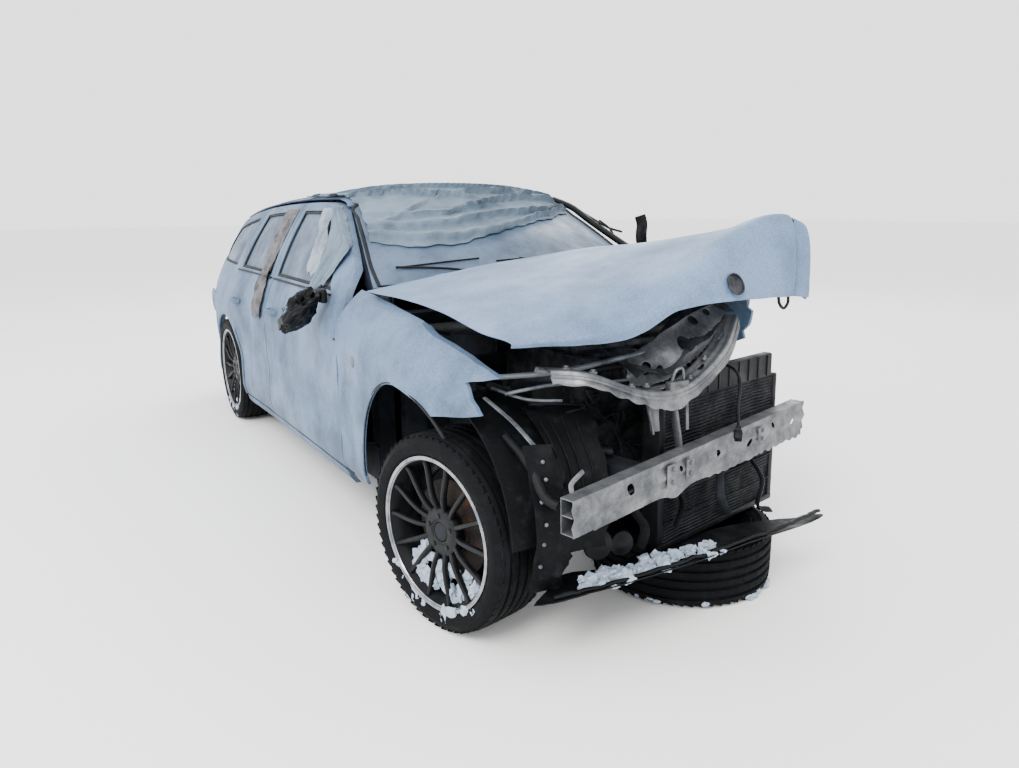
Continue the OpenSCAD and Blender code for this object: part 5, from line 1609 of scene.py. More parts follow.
@dataclass
class RunningGear:
    """All four wheels and what they stand on."""

    steer: float = math.radians(13)
    track: float = 785.0

    def build(self, nodes: dict[str, Piece]) -> None:
        """Builds the wheels and finishes the iron behind them."""
        out = (-math.cos(self.steer), -math.sin(self.steer), 0)
        front = (-725 + 69 * out[0], -210 + 69 * out[1], Shape.tyre)
        wheel = Wheel()
        wheel.fit("front_right", front, out, "front_right_wheel", "front_wheel_right", "front_tyre_right", 5,
            1.0)
        wheel.fit("rear_right", (-self.track, Shape.wheelbase, Shape.tyre), (-1, 0, 0), "rear_right_wheel",
            "rear_wheel_right", "rear_tyre_right", 8, 0.5)
        wheel.fit("rear_left", (self.track, Shape.wheelbase, Shape.tyre), (1, 0, 0), "rear_left_wheel",
            "rear_wheel_left", "rear_tyre_left", 12, 0.4)
        wheel.fit("loose", (100, -340, 112), (0, 0, -1), "body", "loose_wheel", "loose_tyre", 15, 0.0)
        bits = []
        rng = random.Random(21)
        for i in range(30):
            a = rng.uniform(0, math.tau)
            bits.append(Bench.lump((100 + 322 * math.cos(a), -340 + 322 * math.sin(a), rng.uniform(8, 24)),
                (rng.uniform(8, 20), rng.uniform(8, 20), rng.uniform(5, 10)), i, 0.4, 2, Shape.ground))
        Dresser.dress(Bench.join("loose_tyre_snow", bits, 22), "body", SNOW, "primer_steel")
        self.iron(nodes)

    def iron(self, nodes: dict[str, Piece]) -> None:
        """Springs and discs of the rear axle, and finishes for the iron parts."""
        for name, finish in (("front_subframe", PRIMER), ("knuckle_right", IRON), ("rear_axle", IRON),
                ("hub_left", IRON), ("exhaust", IRON), ("arch_liners", SCUFFED)):
            Dresser.keep(nodes, name, finish)
        parts = []
        for a in (-1, 1):
            coil = [(a * 500 + 52 * math.cos(t), Shape.wheelbase + 52 * math.sin(t), 385 + 11 * t)
                for t in (k * 0.5 for k in range(40))]
            parts.append(Bench.rod(coil, 7, Shape.ground, 8, 1))
            disc = Bench.place(Bench.lathe([(150, -6), (150, 6), (60, 6), (60, -6)], 60),
                Shell.stand((a * 712, Shape.wheelbase, Shape.tyre), (a, 0, 0)), Shape.ground)
            parts.append(disc)
        Dresser.dress(Bench.join("rear_springs_and_discs", parts, 40), "body", IRON, "rusty_iron")


# ---------------------------------------------------------------- torn nose


@dataclass
class Nose:
    """Engine bay, radiator, beam, slam panel, lead and undertray."""

    skew: float = math.radians(12)
    beam_at: Point = (-85, -618, 0)
    radiator_at: Point = (110, -478, 158)
    beam_half: float = 646.0

    def skewed(self, p: Point, at: Point = beam_at) -> Vector:
        """Point of the beam's own frame, or of another one at the same angle, in the row frame."""
        c, s = math.cos(self.skew), math.sin(self.skew)
        return Shape.row((at[0] + p[0] * c - p[1] * s, at[1] + p[0] * s + p[1] * c, at[2] + p[2]))

    def cooled(self, p: Point) -> Vector:
        """Point of the radiator's own frame in the row frame."""
        return self.skewed(p, self.radiator_at)

    def beam(self) -> None:
        """Bumper beam: a hollow section, with its torn lower flange, holes and brackets."""
        tilt = math.tan(math.radians(2.6))

        def spot(u: float, v: float, depth: float) -> Vector:
            x = Shape.mix(-648, 648, u)
            lip = 8 * Shape.bump(v, 0.5, 0.09) - 7 * (Shape.bump(v, 0.25, 0.08) + Shape.bump(v, 0.75, 0.08))
            dent = 2.4 * wrinkle((x, 0, v * 100), 110, 5)
            return self.skewed((x, -22 - lip * 0.6 + depth + dent * (depth == 0),
                Shape.mix(414, 522, v) + tilt * x))

        front = Bench.obj("beam_front", Bench.slab(120, 26, spot, 3.5), 40)
        for x, z, r in ((-400, 482, 17), (-210, 452, 14), (-150, 476, 9), (60, 470, 12), (260, 455, 15),
                (420, 480, 10), (560, 460, 12)):
            Bench.drill(front, Bench.drum(r, -60, 60, 28), Matrix.Translation((x, 0, z + tilt * x)) @ TO_Y,
                self.skewed)
        Dresser.dress(front, "body", ALLOY, "bare_alloy", "bumper_beam")

        def web(u: float, y: float, z: float) -> Vector:
            x = Shape.mix(-self.beam_half, self.beam_half, u)
            return self.skewed((x, y, z + tilt * x))

        parts = []
        for z, y0, y1 in ((519, -20, 27), (470, -16, 24), (416, -20, 27)):
            parts.append(Bench.wall(60, 4, lambda u, v: web(u, Shape.mix(y0, y1, v), z + 1.6),
                lambda u, v: web(u, Shape.mix(y0, y1, v), z - 1.6)))
        parts.append(Bench.wall(60, 12, lambda u, v: web(u, 28.5, Shape.mix(415, 521, v)),
            lambda u, v: web(u, 25.5, Shape.mix(415, 521, v))))

        def torn(u: float, v: float, out: float) -> Vector:
            x = Shape.mix(-560, 640, u)
            rip = Shape.clamp((x + 60) / 200)
            drop = (7 + 3 * abs(wrinkle((x, 0, 0), 30, 3)) + rip * (12 + 26 * abs(wrinkle((x, 0, 0), 48, 3)))
                + 22 * Shape.bump(x, -170, 50))
            curl = 12 * wrinkle((x, 0, 0), 110, 8) * v * rip
            return self.skewed((x, -20 + curl + out, 416 + tilt * x - drop * v))

        parts.append(Bench.slab(110, 6, torn, 2.2))
        for x, w, h in ((-205, 26, 74), (-110, 20, 58), (330, 24, 50)):
            z = 470 + tilt * x
            parts.append(Bench.block((x - w, -32, z - h / 2), (x + w, -26, z + h / 2), 3, self.skewed))
            for d in (-1, 1):
                bolt = Bench.place(Bench.drum(8, 0, 9, 6, 1),
                    Matrix.Translation((x, -30, z + d * h * 0.3)) @ TO_Y, self.skewed)
                parts.append(bolt)
        hook = Bench.rod([(-636, -4, 512), (-648, -14, 540), (-630, -24, 562), (-604, -16, 566)], 7,
            self.skewed, 10, 5, 0.5)
        Dresser.dress(Bench.join("beam_flanges", [*parts, hook], 35), "body", ALLOY, "bare_alloy")

    def slam(self) -> None:
        """Bare slam panel, buckled into a V, with its latch."""
        path = [(-610, -470, 800), (-520, -560, 792), (-340, -600, 724), (-170, -600, 726), (-20, -600, 822),
            (55, -575, 925)]
        line = curve(path, 10)

        def spot(u: float, v: float, depth: float) -> Vector:
            p = travel(line, u)
            w = 2 * v - 1
            crease = 5 * math.cos(3 * math.pi * w) + 4 * wrinkle((p.x, w * 60, 0), 70, 4)
            edge = -14 * max(0, abs(w) - 0.8) / 0.2
            return Shape.row((p.x, p.y + 50 * w, p.z + crease * 0.6 + edge - depth))

        top = Bench.obj("slam_skin", Bench.slab(90, 22, spot, 2.4), 45)
        for x, y, r in ((-450, -580, 13), (-420, -560, 7), (-250, -602, 17), (-200, -585, 8), (-90, -602, 12),
                (10, -590, 9)):
            Bench.drill(top, Bench.drum(r, 600, 1000, 24), Matrix.Translation((x, y, 0)), Shape.row)
        Dresser.dress(top, "body", ALLOY, "bare_alloy", "slam_panel")

        def lip(u: float, v: float, depth: float) -> Vector:
            p = travel(line, u)
            hang = 26 + 16 * abs(wrinkle((p.x, 0, 0), 60, 7)) + 20 * Shape.bump(p.x, -250, 70)
            return Shape.row((p.x, p.y - 49 + depth + 5 * math.sin(v * 5), p.z - 10 - hang * v))

        def plate(u: float, v: float, depth: float) -> Vector:
            x = Shape.mix(-330, 70, u)
            y = Shape.mix(-566, -430, v) + 16 * wrinkle((x, v * 200, 0), 90, 5)
            z = 756 + 190 * max(0.0, (x + 240) / 310) ** 1.7 + 60 * v + 14 * math.sin(u * 13) - depth
            return Shape.row((x, y, z))

        def sheet(u: float, v: float, depth: float) -> Vector:
            x = Shape.mix(-330, 92, u)
            k = min(range(len(line)), key=lambda j: abs(line[j][0] - x))
            low, high = line[k][2] + 6, Shape.mix(782, 972, u**0.85)
            y = Shape.mix(-560, -500, v) + 14 * wrinkle((x, v * 160, 0), 80, 5) + 12 * math.sin(6 * v + 4 * u)
            return Shape.row((x, y + depth, Shape.mix(low, max(low + 12, high), v)))

        face = Bench.obj("latch_sheet", Bench.slab(70, 30, sheet, 2.4), 50)
        for x, z, r in ((-262, 772, 21), (-205, 760, 15), (-96, 835, 24), (-30, 905, 13), (20, 930, 10)):
            Bench.drill(face, Bench.drum(r, -60, 60, 28), Matrix.Translation((x, -530, z)) @ TO_Y, Shape.row)
        Dresser.dress(face, "body", ALLOY, "bare_alloy")
        flange = Bench.slab(110, 8, lip, 2.2)
        inner = Bench.slab(50, 18, plate, 2.2)
        Dresser.dress(Bench.obj("slam_flange", flange, 50), "body", ALLOY, "bare_alloy")
        Dresser.dress(Bench.obj("latch_plate", inner, 50), "body", CAST, "bare_alloy")
        bolts = []
        for x, y, z in ((-560, -520, 802), (-500, -575, 792), (-380, -608, 740), (-300, -585, 728),
                (-140, -610, 740), (-60, -590, 792)):
            bolts.append(Bench.place(Bench.drum(8, -6, 10, 6, 1), Matrix.Translation((x, y, z)), Shape.row))
            bolts.append(Bench.place(Bench.drum(13, -6, 4, 24, 1), Matrix.Translation((x, y, z)), Shape.row))
        latch = Bench.block((-250, -640, 690), (-170, -612, 742), 5)
        catch = Bench.rod([(-236, -626, 735), (-232, -640, 775), (-206, -642, 782), (-186, -628, 738)], 5,
            Shape.row)
        legs = [Bench.rod(p, 15, Shape.row, 12, 5, 0.3)
            for p in ([(-335, -612, 722), (-330, -632, 660), (-318, -640, 590)],
            [(-160, -604, 724), (-164, -622, 660), (-172, -636, 580)],
            [(-215, -600, 722), (-200, -608, 620), (-175, -604, 512)],
            [(-288, -608, 668), (-290, -612, 630), (-284, -610, 586)])]
        Dresser.dress(Bench.join("slam_latch_and_bolts", [latch, catch, *bolts, *legs], 35), "body", STEEL,
            "bare_alloy")
        bar = Bench.rod([(-700, -350, 765), (-610, -410, 772), (-500, -450, 780), (-350, -478, 800),
            (-200, -500, 820)], 17, Shape.row, 14, 8, 0.5)
        strip = Bench.rod([(-690, -380, 716), (-560, -455, 742), (-430, -500, 738), (-330, -530, 742)], 8,
            Shape.row, 10, 8, 0.7)
        Dresser.dress(Bench.join("bare_light_bar", [bar, strip], 40), "body", PALE_STRIP, "bare_alloy")

    def radiator(self) -> None:
        """Radiator core with its tanks, side frames and a fan cowl."""
        def face(u: float, v: float, depth: float) -> Vector:
            x, z = Shape.mix(-366, 366, u), Shape.mix(2, 498, v)
            push = 10 * max(0, wrinkle((x, 0, z), 160, 2)) + 6 * max(0, wrinkle((x, 0, z), 60, 6))
            return self.cooled((x, -33 + depth + push * (depth == 0), z))

        core = Bench.obj("radiator_fins", Bench.slab(60, 60, face, 58), 40)
        Dresser.dress(core, "body", CORE, "primer_steel", "radiator")
        frame = [Bench.block((-370, -35, 0), (-338, 35, 500), 5, self.cooled),
            Bench.block((338, -35, 0), (370, 35, 500), 5, self.cooled),
            Bench.block((-370, -36, -2), (370, 34, 22), 5, self.cooled),
            Bench.block((-250, -35, 496), (330, 5, 583), 8, self.cooled)]
        for i in range(9):
            x = -230 + i * 65
            frame.append(Bench.block((x - 4, -38, 500), (x + 4, -33, 578), 1.5, self.cooled))
        for z in (96, 190, 284, 378):
            frame.append(Bench.rod([(-340, -38, z), (-120, -41, z + 5), (140, -40, z - 4), (340, -38, z)], 3,
                self.cooled, 6, 4))
        frame.append(Bench.place(Bench.lathe([(205, 0), (212, 0), (212, 48), (160, 54), (160, 50), (205, 44)],
            64), Matrix.Translation((0, 36, 250)) @ Matrix.Rotation(-math.pi / 2, 4, "X"), self.cooled))
        frame.append(Bench.block((-330, 34, 42), (330, 42, 462), 4, self.cooled))
        Dresser.dress(Bench.join("radiator_tanks", frame, 35), "body", PLASTIC, "black_plastic")

    def undertray(self) -> None:
        """Thin torn undertray with a rolled lip, and the snow on it."""
        outline = [(-760, -640), (-600, -700), (-300, -716), (0, -706), (240, -694), (430, -668), (520, -646),
            (512, -628), (420, -604), (300, -560), (120, -520), (-200, -520), (-420, -560), (-560, -520),
            (-640, -560)]
        smooth = curve([(x, y, 0) for x, y in (*outline, outline[0])], 5)[:-1]
        bm = bmesh.new()
        face = bm.faces.new([bm.verts.new((x + 3 * wrinkle((x, y, 0), 30, 1),
            y + 3 * wrinkle((x, y, 0), 26, 4), 0)) for x, y, _ in smooth])
        bmesh.ops.inset_region(bm, faces=[face], thickness=12, depth=0)
        bmesh.ops.triangulate(bm, faces=[f for f in bm.faces if len(f.verts) > 4])
        bmesh.ops.subdivide_edges(bm, edges=[e for e in bm.edges if e.calc_length() > 60], cuts=2,
            use_grid_fill=True)
        bmesh.ops.triangulate(bm, faces=[f for f in bm.faces if len(f.verts) > 4])
        bmesh.ops.solidify(bm, geom=bm.faces[:], thickness=3.5)
        for vert in bm.verts:
            x, y, z = vert.co
            front = Shape.clamp((-y - 640) / 60)
            vert.co = Shape.row((x, y, 139.5 + z + 3 + 22 * front**2
                + 3.5 * max(0, wrinkle((x, y, 0), 90, 3))))
        bmesh.ops.recalc_face_normals(bm, faces=bm.faces[:])
        Dresser.dress(Bench.obj("undertray_skin", bm, 50), "body", PLASTIC, "black_plastic", "undertray")
        edge = [(x, y + 10 + 7 * wrinkle((x, 0, 0), 60, 2), z + 7 * wrinkle((x, 0, 0), 34, 6))
            for x, y, z in curve([(-700, -664, 158), (-560, -696, 164), (-300, -708, 168), (0, -698, 168),
            (240, -686, 168), (430, -660, 166), (505, -642, 162)], 8)]
        Dresser.dress(Bench.obj("undertray_lip", Bench.rod(edge, 10, Shape.row, 10, 1, 0.7), 60), "body",
            PLASTIC, "black_plastic")
        rng = random.Random(4)
        lumps = []
        for i in range(130):
            x = rng.choice((rng.uniform(-600, -210), rng.uniform(-560, -250), rng.uniform(-600, -230),
                rng.uniform(-180, -40)))
            y = -706 + rng.uniform(0, 86) + 18 * (abs(x) / 700)
            big = rng.uniform(0.5, 1.4)
            size = (rng.uniform(9, 22) * big, rng.uniform(7, 16) * big, rng.uniform(6, 15) * big)
            lumps.append(Bench.lump((x, y, 154 + size[2] * rng.uniform(0.2, 1.0)), size, i, 0.95, 2,
                Shape.row))
        Dresser.dress(Bench.join("undertray_snow", lumps, 22), "body", SNOW, "primer_steel")

    def bay(self, nodes: dict[str, Piece]) -> None:
        """Engine detail, hoses and wires."""
        Dresser.keep(nodes, "engine_block", CAST)
        iron, black = [], []
        for i in range(4):
            x = -180 + i * 118
            iron.append(Bench.block((x - 40, -225, 700), (x + 40, -120, 775), 14))
            black.append(Bench.rod([(x, -215, 735), (x, -275, 740), (x + 6, -300, 690), (x + 8, -296, 600)],
                24, Shape.row, 14, 6))
        iron.append(Bench.block((-250, -150, 752), (240, 300, 800), 22))
        black.append(Bench.block((-230, -130, 796), (220, 260, 838), 20))
        for x, z, r in ((-200, 470, 62), (-60, 420, 84), (110, 500, 50), (190, 400, 60)):
            iron.append(Bench.place(Bench.drum(r, 0, 34, 40, 4), Shell.stand((x, -236, z), (0, -1, 0)),
                Shape.row))
            iron.append(Bench.place(Bench.drum(r * 0.35, 30, 44, 24, 3),
                Shell.stand((x, -236, z), (0, -1, 0)), Shape.row))
        for low, high, bevel in (((-620, 150, 640), (-360, 400, 850), 24),
                ((330, 180, 620), (560, 420, 860), 20), ((-560, -330, 560), (-400, -180, 720), 18),
                ((340, -180, 560), (480, 60, 760), 18)):
            black.append(Bench.block(low, high, bevel))
        Dresser.dress(Bench.join("engine_castings", iron, 35), "body", CAST, "bare_alloy")
        hoses = [([(-200, -330, 560), (-240, -380, 610), (-180, -400, 660), (-60, -380, 650)], 20),
            ([(120, -330, 600), (200, -380, 640), (300, -330, 700), (330, -200, 740)], 22),
            ([(-480, -330, 640), (-520, -420, 600), (-480, -500, 540), (-400, -540, 520)], 14),
            ([(-640, -180, 700), (-560, -300, 660), (-500, -420, 620), (-560, -520, 560)], 17),
            ([(-420, -240, 700), (-320, -330, 740), (-200, -420, 760), (-80, -430, 720)], 12),
            ([(280, -260, 480), (330, -330, 420), (300, -360, 330), (200, -340, 260)], 20),
            ([(420, 60, 720), (470, -60, 700), (440, -180, 640), (380, -240, 560)], 14),
            ([(-300, -300, 420), (-420, -360, 400), (-500, -440, 350), (-440, -520, 300)], 15)]
        for path, r in hoses:
            black.append(Bench.rod(path, r, Shape.row, 14, 8))
        Dresser.dress(Bench.join("bay_boxes_and_hoses", black, 40), "body", HOSE, "black_plastic")
        rng = random.Random(9)
        wires = []
        for _ in range(26):
            p = Vector((rng.uniform(-600, 420), rng.uniform(-440, -300), rng.uniform(420, 760)))
            line = [tuple(p)]
            for _ in range(4):
                p = p + Vector((rng.uniform(-90, 90), rng.uniform(-45, 35), rng.uniform(-110, 45)))
                p.y = max(-470.0, min(-250.0, p.y))
                p.x = max(-660.0, min(500.0, p.x))
                line.append(tuple(p))
            wires.append(Bench.rod(line, rng.uniform(2.5, 5.5), Shape.row, 6, 5))
        Dresser.dress(Bench.join("bay_wires", wires, 60), "body", HOSE, "lead_rubber")
        pale = [Bench.rod([(-735, -330, 700), (-700, -440, 640), (-690, -540, 590)], 12, Shape.row, 10, 8,
            0.35)]
        pale.append(Bench.rod([(-690, -300, 720), (-640, -420, 700), (-560, -500, 700)], 9, Shape.row, 8, 8,
            0.5))
        Dresser.dress(Bench.join("torn_trim_strips", pale, 50), "body", PALE_STRIP, "bare_alloy")
        pieces = [Bench.rod([(-726, -440, 600), (-718, -560, 540), (-722, -640, 470), (-705, -690, 450)], 15,
            Shape.row, 12, 8)]
        for at, r in (((-500, -600, 256), 46), ((-408, -600, 240), 38)):
            pieces.append(Bench.place(Bench.lathe([(0.01, -8), (r, -8), (r + 3, 0), (r, 12), (r * 0.6, 16),
                (r * 0.3, 26), (0.01, 26)], 40), Shell.stand(at, (-0.2, -1, 0.1)), Shape.row))
        pieces.append(Bench.rod([(-500, -590, 260), (-490, -560, 330), (-470, -540, 400)], 8, Shape.row, 8, 5,
            0.4))
        Dresser.dress(Bench.join("horns", pieces, 45), "body", PLASTIC, "black_plastic")
        brackets = [Bench.rod(p, r, Shape.row, 8, 6, f)
            for p, r, f in (([(-330, -560, 420), (-345, -580, 340), (-300, -590, 260), (-310, -580, 190)], 16,
            0.3), ([(-180, -570, 400), (-150, -600, 320), (-175, -600, 240)], 20, 0.25),
            ([(60, -560, 400), (40, -590, 300), (90, -580, 220)], 14, 0.3),
            ([(-420, -540, 420), (-300, -600, 380), (-160, -590, 400)], 12, 0.4),
            ([(250, -500, 400), (300, -540, 300), (260, -560, 210), (330, -560, 180)], 16, 0.3))]
        Dresser.dress(Bench.join("hanging_brackets", brackets, 45), "body", PRIMER, "primer_steel")

    def liner(self) -> None:
        """Scratched arch liner pushed forward between the wheel and the beam."""
        def spot(u: float, v: float, depth: float) -> Vector:
            x = Shape.mix(-640, -505 + 60 * v + 34 * wrinkle((0, v * 500, 0), 90, 4), u)
            a = math.radians(Shape.mix(190, 112, v))
            r = 372 + 16 * wrinkle((x, v * 200, 0), 120, 6)
            y = -250 + r * math.cos(a) - 40 * u
            z = 330 + r * 0.98 * math.sin(a)
            return Shape.row((x, y + depth, z - depth * 0.4))

        sheet = Bench.slab(40, 50, spot, 3)
        ribs = [Bench.rod([tuple((spot(u, v, -3) * 1000 + Vector((0, Shape.origin_y, 0))))
            for v in (0.25, 0.4, 0.55, 0.7, 0.85)], 4, Shape.ground, 8, 4) for u in (0.12, 0.3, 0.5, 0.72)]
        Dresser.dress(Bench.join("torn_liner", [sheet, *ribs], 50), "body", SCUFFED, "black_plastic")

        def splash(u: float, v: float, depth: float) -> Vector:
            z = Shape.mix(600, 150, v)
            edge = 26 * wrinkle((0, z, 0), 46, 3) + 12 * wrinkle((0, z, 0), 17, 6)
            x = Shape.mix(-742, -655 + edge, u) + 30 * math.sin(v * 3) * u
            y = -560 - 66 * math.sin(math.pi * v * 0.9) - 26 * u + 12 * wrinkle((x, z, 0), 70, 2)
            return Shape.row((x, y + depth, z))

        torn = Bench.slab(16, 60, splash, 3)
        clips = [Bench.lump((-715 + 14 * math.sin(z), -600 - 40 * math.sin((600 - z) / 150), z), (6, 6, 6), z,
            0.2, 2, Shape.row) for z in (560, 510, 450, 380, 320, 250)]
        Dresser.dress(Bench.obj("torn_splash_guard", torn, 50), "body", SCUFFED, "black_plastic")
        Dresser.dress(Bench.join("splash_guard_clips", clips, 50), "body", PALE_STRIP, "bare_alloy")

    def lead(self) -> None:
        """Sensor lead that hangs from the slam panel, with its open connector."""
        s = Shape
        route = [(64, -503, 745), (66, -535, 750), (70, -566, 750), (76, -600, 735), (80, -615, 705),
            (74, -622, 670), (62, -630, 640), (50, -640, 615), (38, -652, 595), (28, -664, 580),
            (20, -672, 566)]
        line = curve(route, 5)
        body = Bench.obj("sensor_lead_cable", Bench.rod(line, 5, s.row, 12, 1), 60)
        Dresser.dress(body, "body", HOSE, "lead_rubber", "sensor_lead")
        turn = Matrix.Rotation(math.radians(45), 3, "Z") @ Matrix.Rotation(math.radians(39), 3, "Y")
        at = Vector((20, -672, 566))
        frame = lambda p: s.row(at + turn @ Vector(p))
        parts = [Bench.block((-16, -12, -46.2), (16, 12, -16), 3, frame),
            Bench.block((-12, -9, -18), (12, 9, -0.4), 3, frame),
            Bench.block((-6, 11, -40), (6, 15, -12), 1.2, frame),
            Bench.block((-17, -13, -30), (17, 13, -26), 1, frame)]
        plug = Dresser.dress(Bench.join("sensor_lead_connector", parts, 35), "body", PLASTIC, "lead_rubber",
            "lead_connector")
        path = [tuple(s.row(p)) for p in line]
        length = sum((Vector(b) - Vector(a)).length for a, b in zip(path, path[1:]))
        log.info("lead length %.4f m", length)
        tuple(path[0])

    def build(self, nodes: dict[str, Piece]) -> None:
        """Builds the whole nose."""
        self.beam()
        self.slam()
        self.radiator()
        self.undertray()
        self.bay(nodes)
        self.liner()


# ---------------------------------------------------------------- cabin, mirrors and cloth


@dataclass
class Cabin:
    """Dashboard, console, steering wheel and seats."""

    seat_x: float = 392.0
    wheel_x: float = 370.0

    def cushion(self, name: str, low: Point, high: Point, tilt: float, seams: int,
            puff: float = 0.09) -> Piece:
        """Padded block with rounded edges and sewn channels.

        Args:
            name: name of the piece.
            low: lowest corner in millimetres.
            high: highest corner.
            tilt: slope of its length, as the rise of Y with Z.
            seams: channels across it.
            puff: how far its middle stands out, as a share of its thickness.

        Returns:
            The piece.
        """
        bm = bmesh.new()
        bmesh.ops.create_cube(bm, size=2.0)
        bmesh.ops.subdivide_edges(bm, edges=bm.edges[:], cuts=15, use_grid_fill=True)
        size = [(h - l) / 2 for l, h in zip(low, high)]
        middle = [(h + l) / 2 for l, h in zip(low, high)]
        thin = min(range(3), key=lambda k: size[k])
        wide = max((k for k in range(3) if k != 0), key=lambda k: size[k])
        for vert in bm.verts:
            c = vert.co.copy()
            soft = Vector([a * (1 - 0.09 * sum(abs(c[j]) ** 6 for j in range(3) if j != i))
                for i, a in enumerate(c)])
            seam = sum(math.exp(-(((c[wide] - (-1 + 2 * (k + 1) / (seams + 1))) / 0.045) ** 2))
                for k in range(seams))
            rim = 1 - max(abs(c[j]) for j in range(3) if j != thin) ** 8
            soft[thin] *= 1 - 0.12 * seam * rim + puff * rim - puff
            p = [m + s * v for m, s, v in zip(middle, size, soft)]
            p[1] += tilt * (p[2] - low[2])
            vert.co = Shape.row(p)
        return Bench.obj(name, bm, 60)

    def seats(self) -> None:
        """Two front seats and the rear bench."""
        def pad(name: str, low: Point, high: Point, tilt: float, seams: int, *nodes: str) -> None:
            piece = self.cushion(name, low, high, tilt, seams)
            Dresser.dress(piece, "body", SEAT, "seat_cloth", *nodes)

        for tag, x in (("right", -self.seat_x), ("left", self.seat_x)):
            nodes = ("seats",) if x < 0 else ()
            pad(f"front_seat_cushion_{tag}", (x - 232, 1112, 318), (x + 232, 1606, 428), 0.0, 3, *nodes)
            pad(f"front_seat_back_{tag}", (x - 222, 1540, 382), (x + 222, 1630, 992), 0.24, 5)
            pad(f"front_headrest_{tag}", (x - 128, 1708, 1024), (x + 128, 1782, 1166), 0.02, 0)
            rails = [Bench.block((x + a, 1130, 200), (x + a + 30, 1590, 316), 6) for a in (-200, 170)]
            rails += [Bench.rod([(x + a, 1700, 960), (x + a, 1722, 1030)], 7, Shape.row) for a in (-60, 60)]
            Dresser.dress(Bench.join(f"front_seat_rails_{tag}", rails), "body", PRIMER, "primer_steel")
        for k, tag in enumerate(("right", "left")):
            x0 = -590 + k * 596
            pad(f"rear_cushion_{tag}", (x0, 1935, 330), (x0 + 584, 2250, 432), 0.0, 2)
            pad(f"rear_back_{tag}", (x0, 2196, 436), (x0 + 584, 2252, 974), 0.27, 4)
        base = Bench.block((-596, 1940, 200), (596, 2240, 332), 10)
        Dresser.dress(Bench.obj("rear_bench_base", base), "body", SEAT_EDGE, "black_plastic")

    def dash(self) -> None:
        """Dashboard with its vents, console and a bare steering wheel."""
        def skin(u: float, v: float, deep: float) -> Vector:
            x = Shape.mix(-676, 676, u)
            a = math.radians(Shape.mix(-24, 96, v))
            bulge = 30 * Shape.bump(x, 370, 160) * math.sin(math.pi * v)
            y = 700 + (190 - deep) * math.cos(a) * (1 - 0.1 * abs(2 * u - 1) ** 4)
            z = 640 + (165 + bulge - deep) * max(-0.2, math.sin(a)) + 10
            return Shape.row((x, y, z))

        body = Bench.obj("dashboard_pad", Bench.slab(60, 24, skin, 12), 45)
        Dresser.dress(body, "body", PLASTIC, "black_plastic", "dashboard")
        parts = [Bench.block((x - 44, 872, 716), (x + 44, 886, 760), 5) for x in (-560, -60, 60, 560)]
        parts.append(Bench.block((-110, 600, 500), (110, 880, 660), 20))
        parts.append(Bench.block((-130, 700, 330), (130, 1500, 420), 18))
        parts.append(Bench.rod([(0, 1020, 410), (4, 1010, 470), (8, 1000, 520)], 16, Shape.row, 14, 5))
        parts.append(Bench.lump((8, 998, 530), (24, 24, 28), 1, 0.0, 3))
        Dresser.dress(Bench.join("console_and_vents", parts, 40), "body", SEAT_EDGE, "black_plastic")
        where = Matrix.Translation((self.wheel_x, 985, 800)) @ Matrix.Rotation(math.radians(-65), 4, "X")
        ring = Bench.lathe([(176 + 14 * math.cos(a), 14 * math.sin(a))
            for a in (math.tau * k / 16 for k in range(16))], 80)
        wheel = [Bench.place(ring, where, Shape.row)]
        for a in (math.radians(d) for d in (180, 0, 270)):
            line = [(r * math.cos(a), r * math.sin(a), -12 + 8 * (r / 176)) for r in (30, 90, 140, 174)]
            wheel.append(Bench.rod([tuple(where @ Vector(p)) for p in line], 14, Shape.row, 12, 3, 0.6))
        wheel.append(Bench.place(Bench.lathe([(0.01, 4), (52, 2), (60, -10), (52, -34), (0.01, -34)], 48),
            where, Shape.row))
        column = Bench.rod([(self.wheel_x, 960, 788), (self.wheel_x, 860, 742), (self.wheel_x, 780, 704)], 30,
            Shape.row, 20, 4)
        Dresser.dress(Bench.join("steering_wheel_rim", [*wheel, column], 45), "body", SEAT_EDGE,
            "black_plastic", "steering_wheel")

    def build(self) -> None:
        """Builds the cabin."""
        self.dash()
        self.seats()


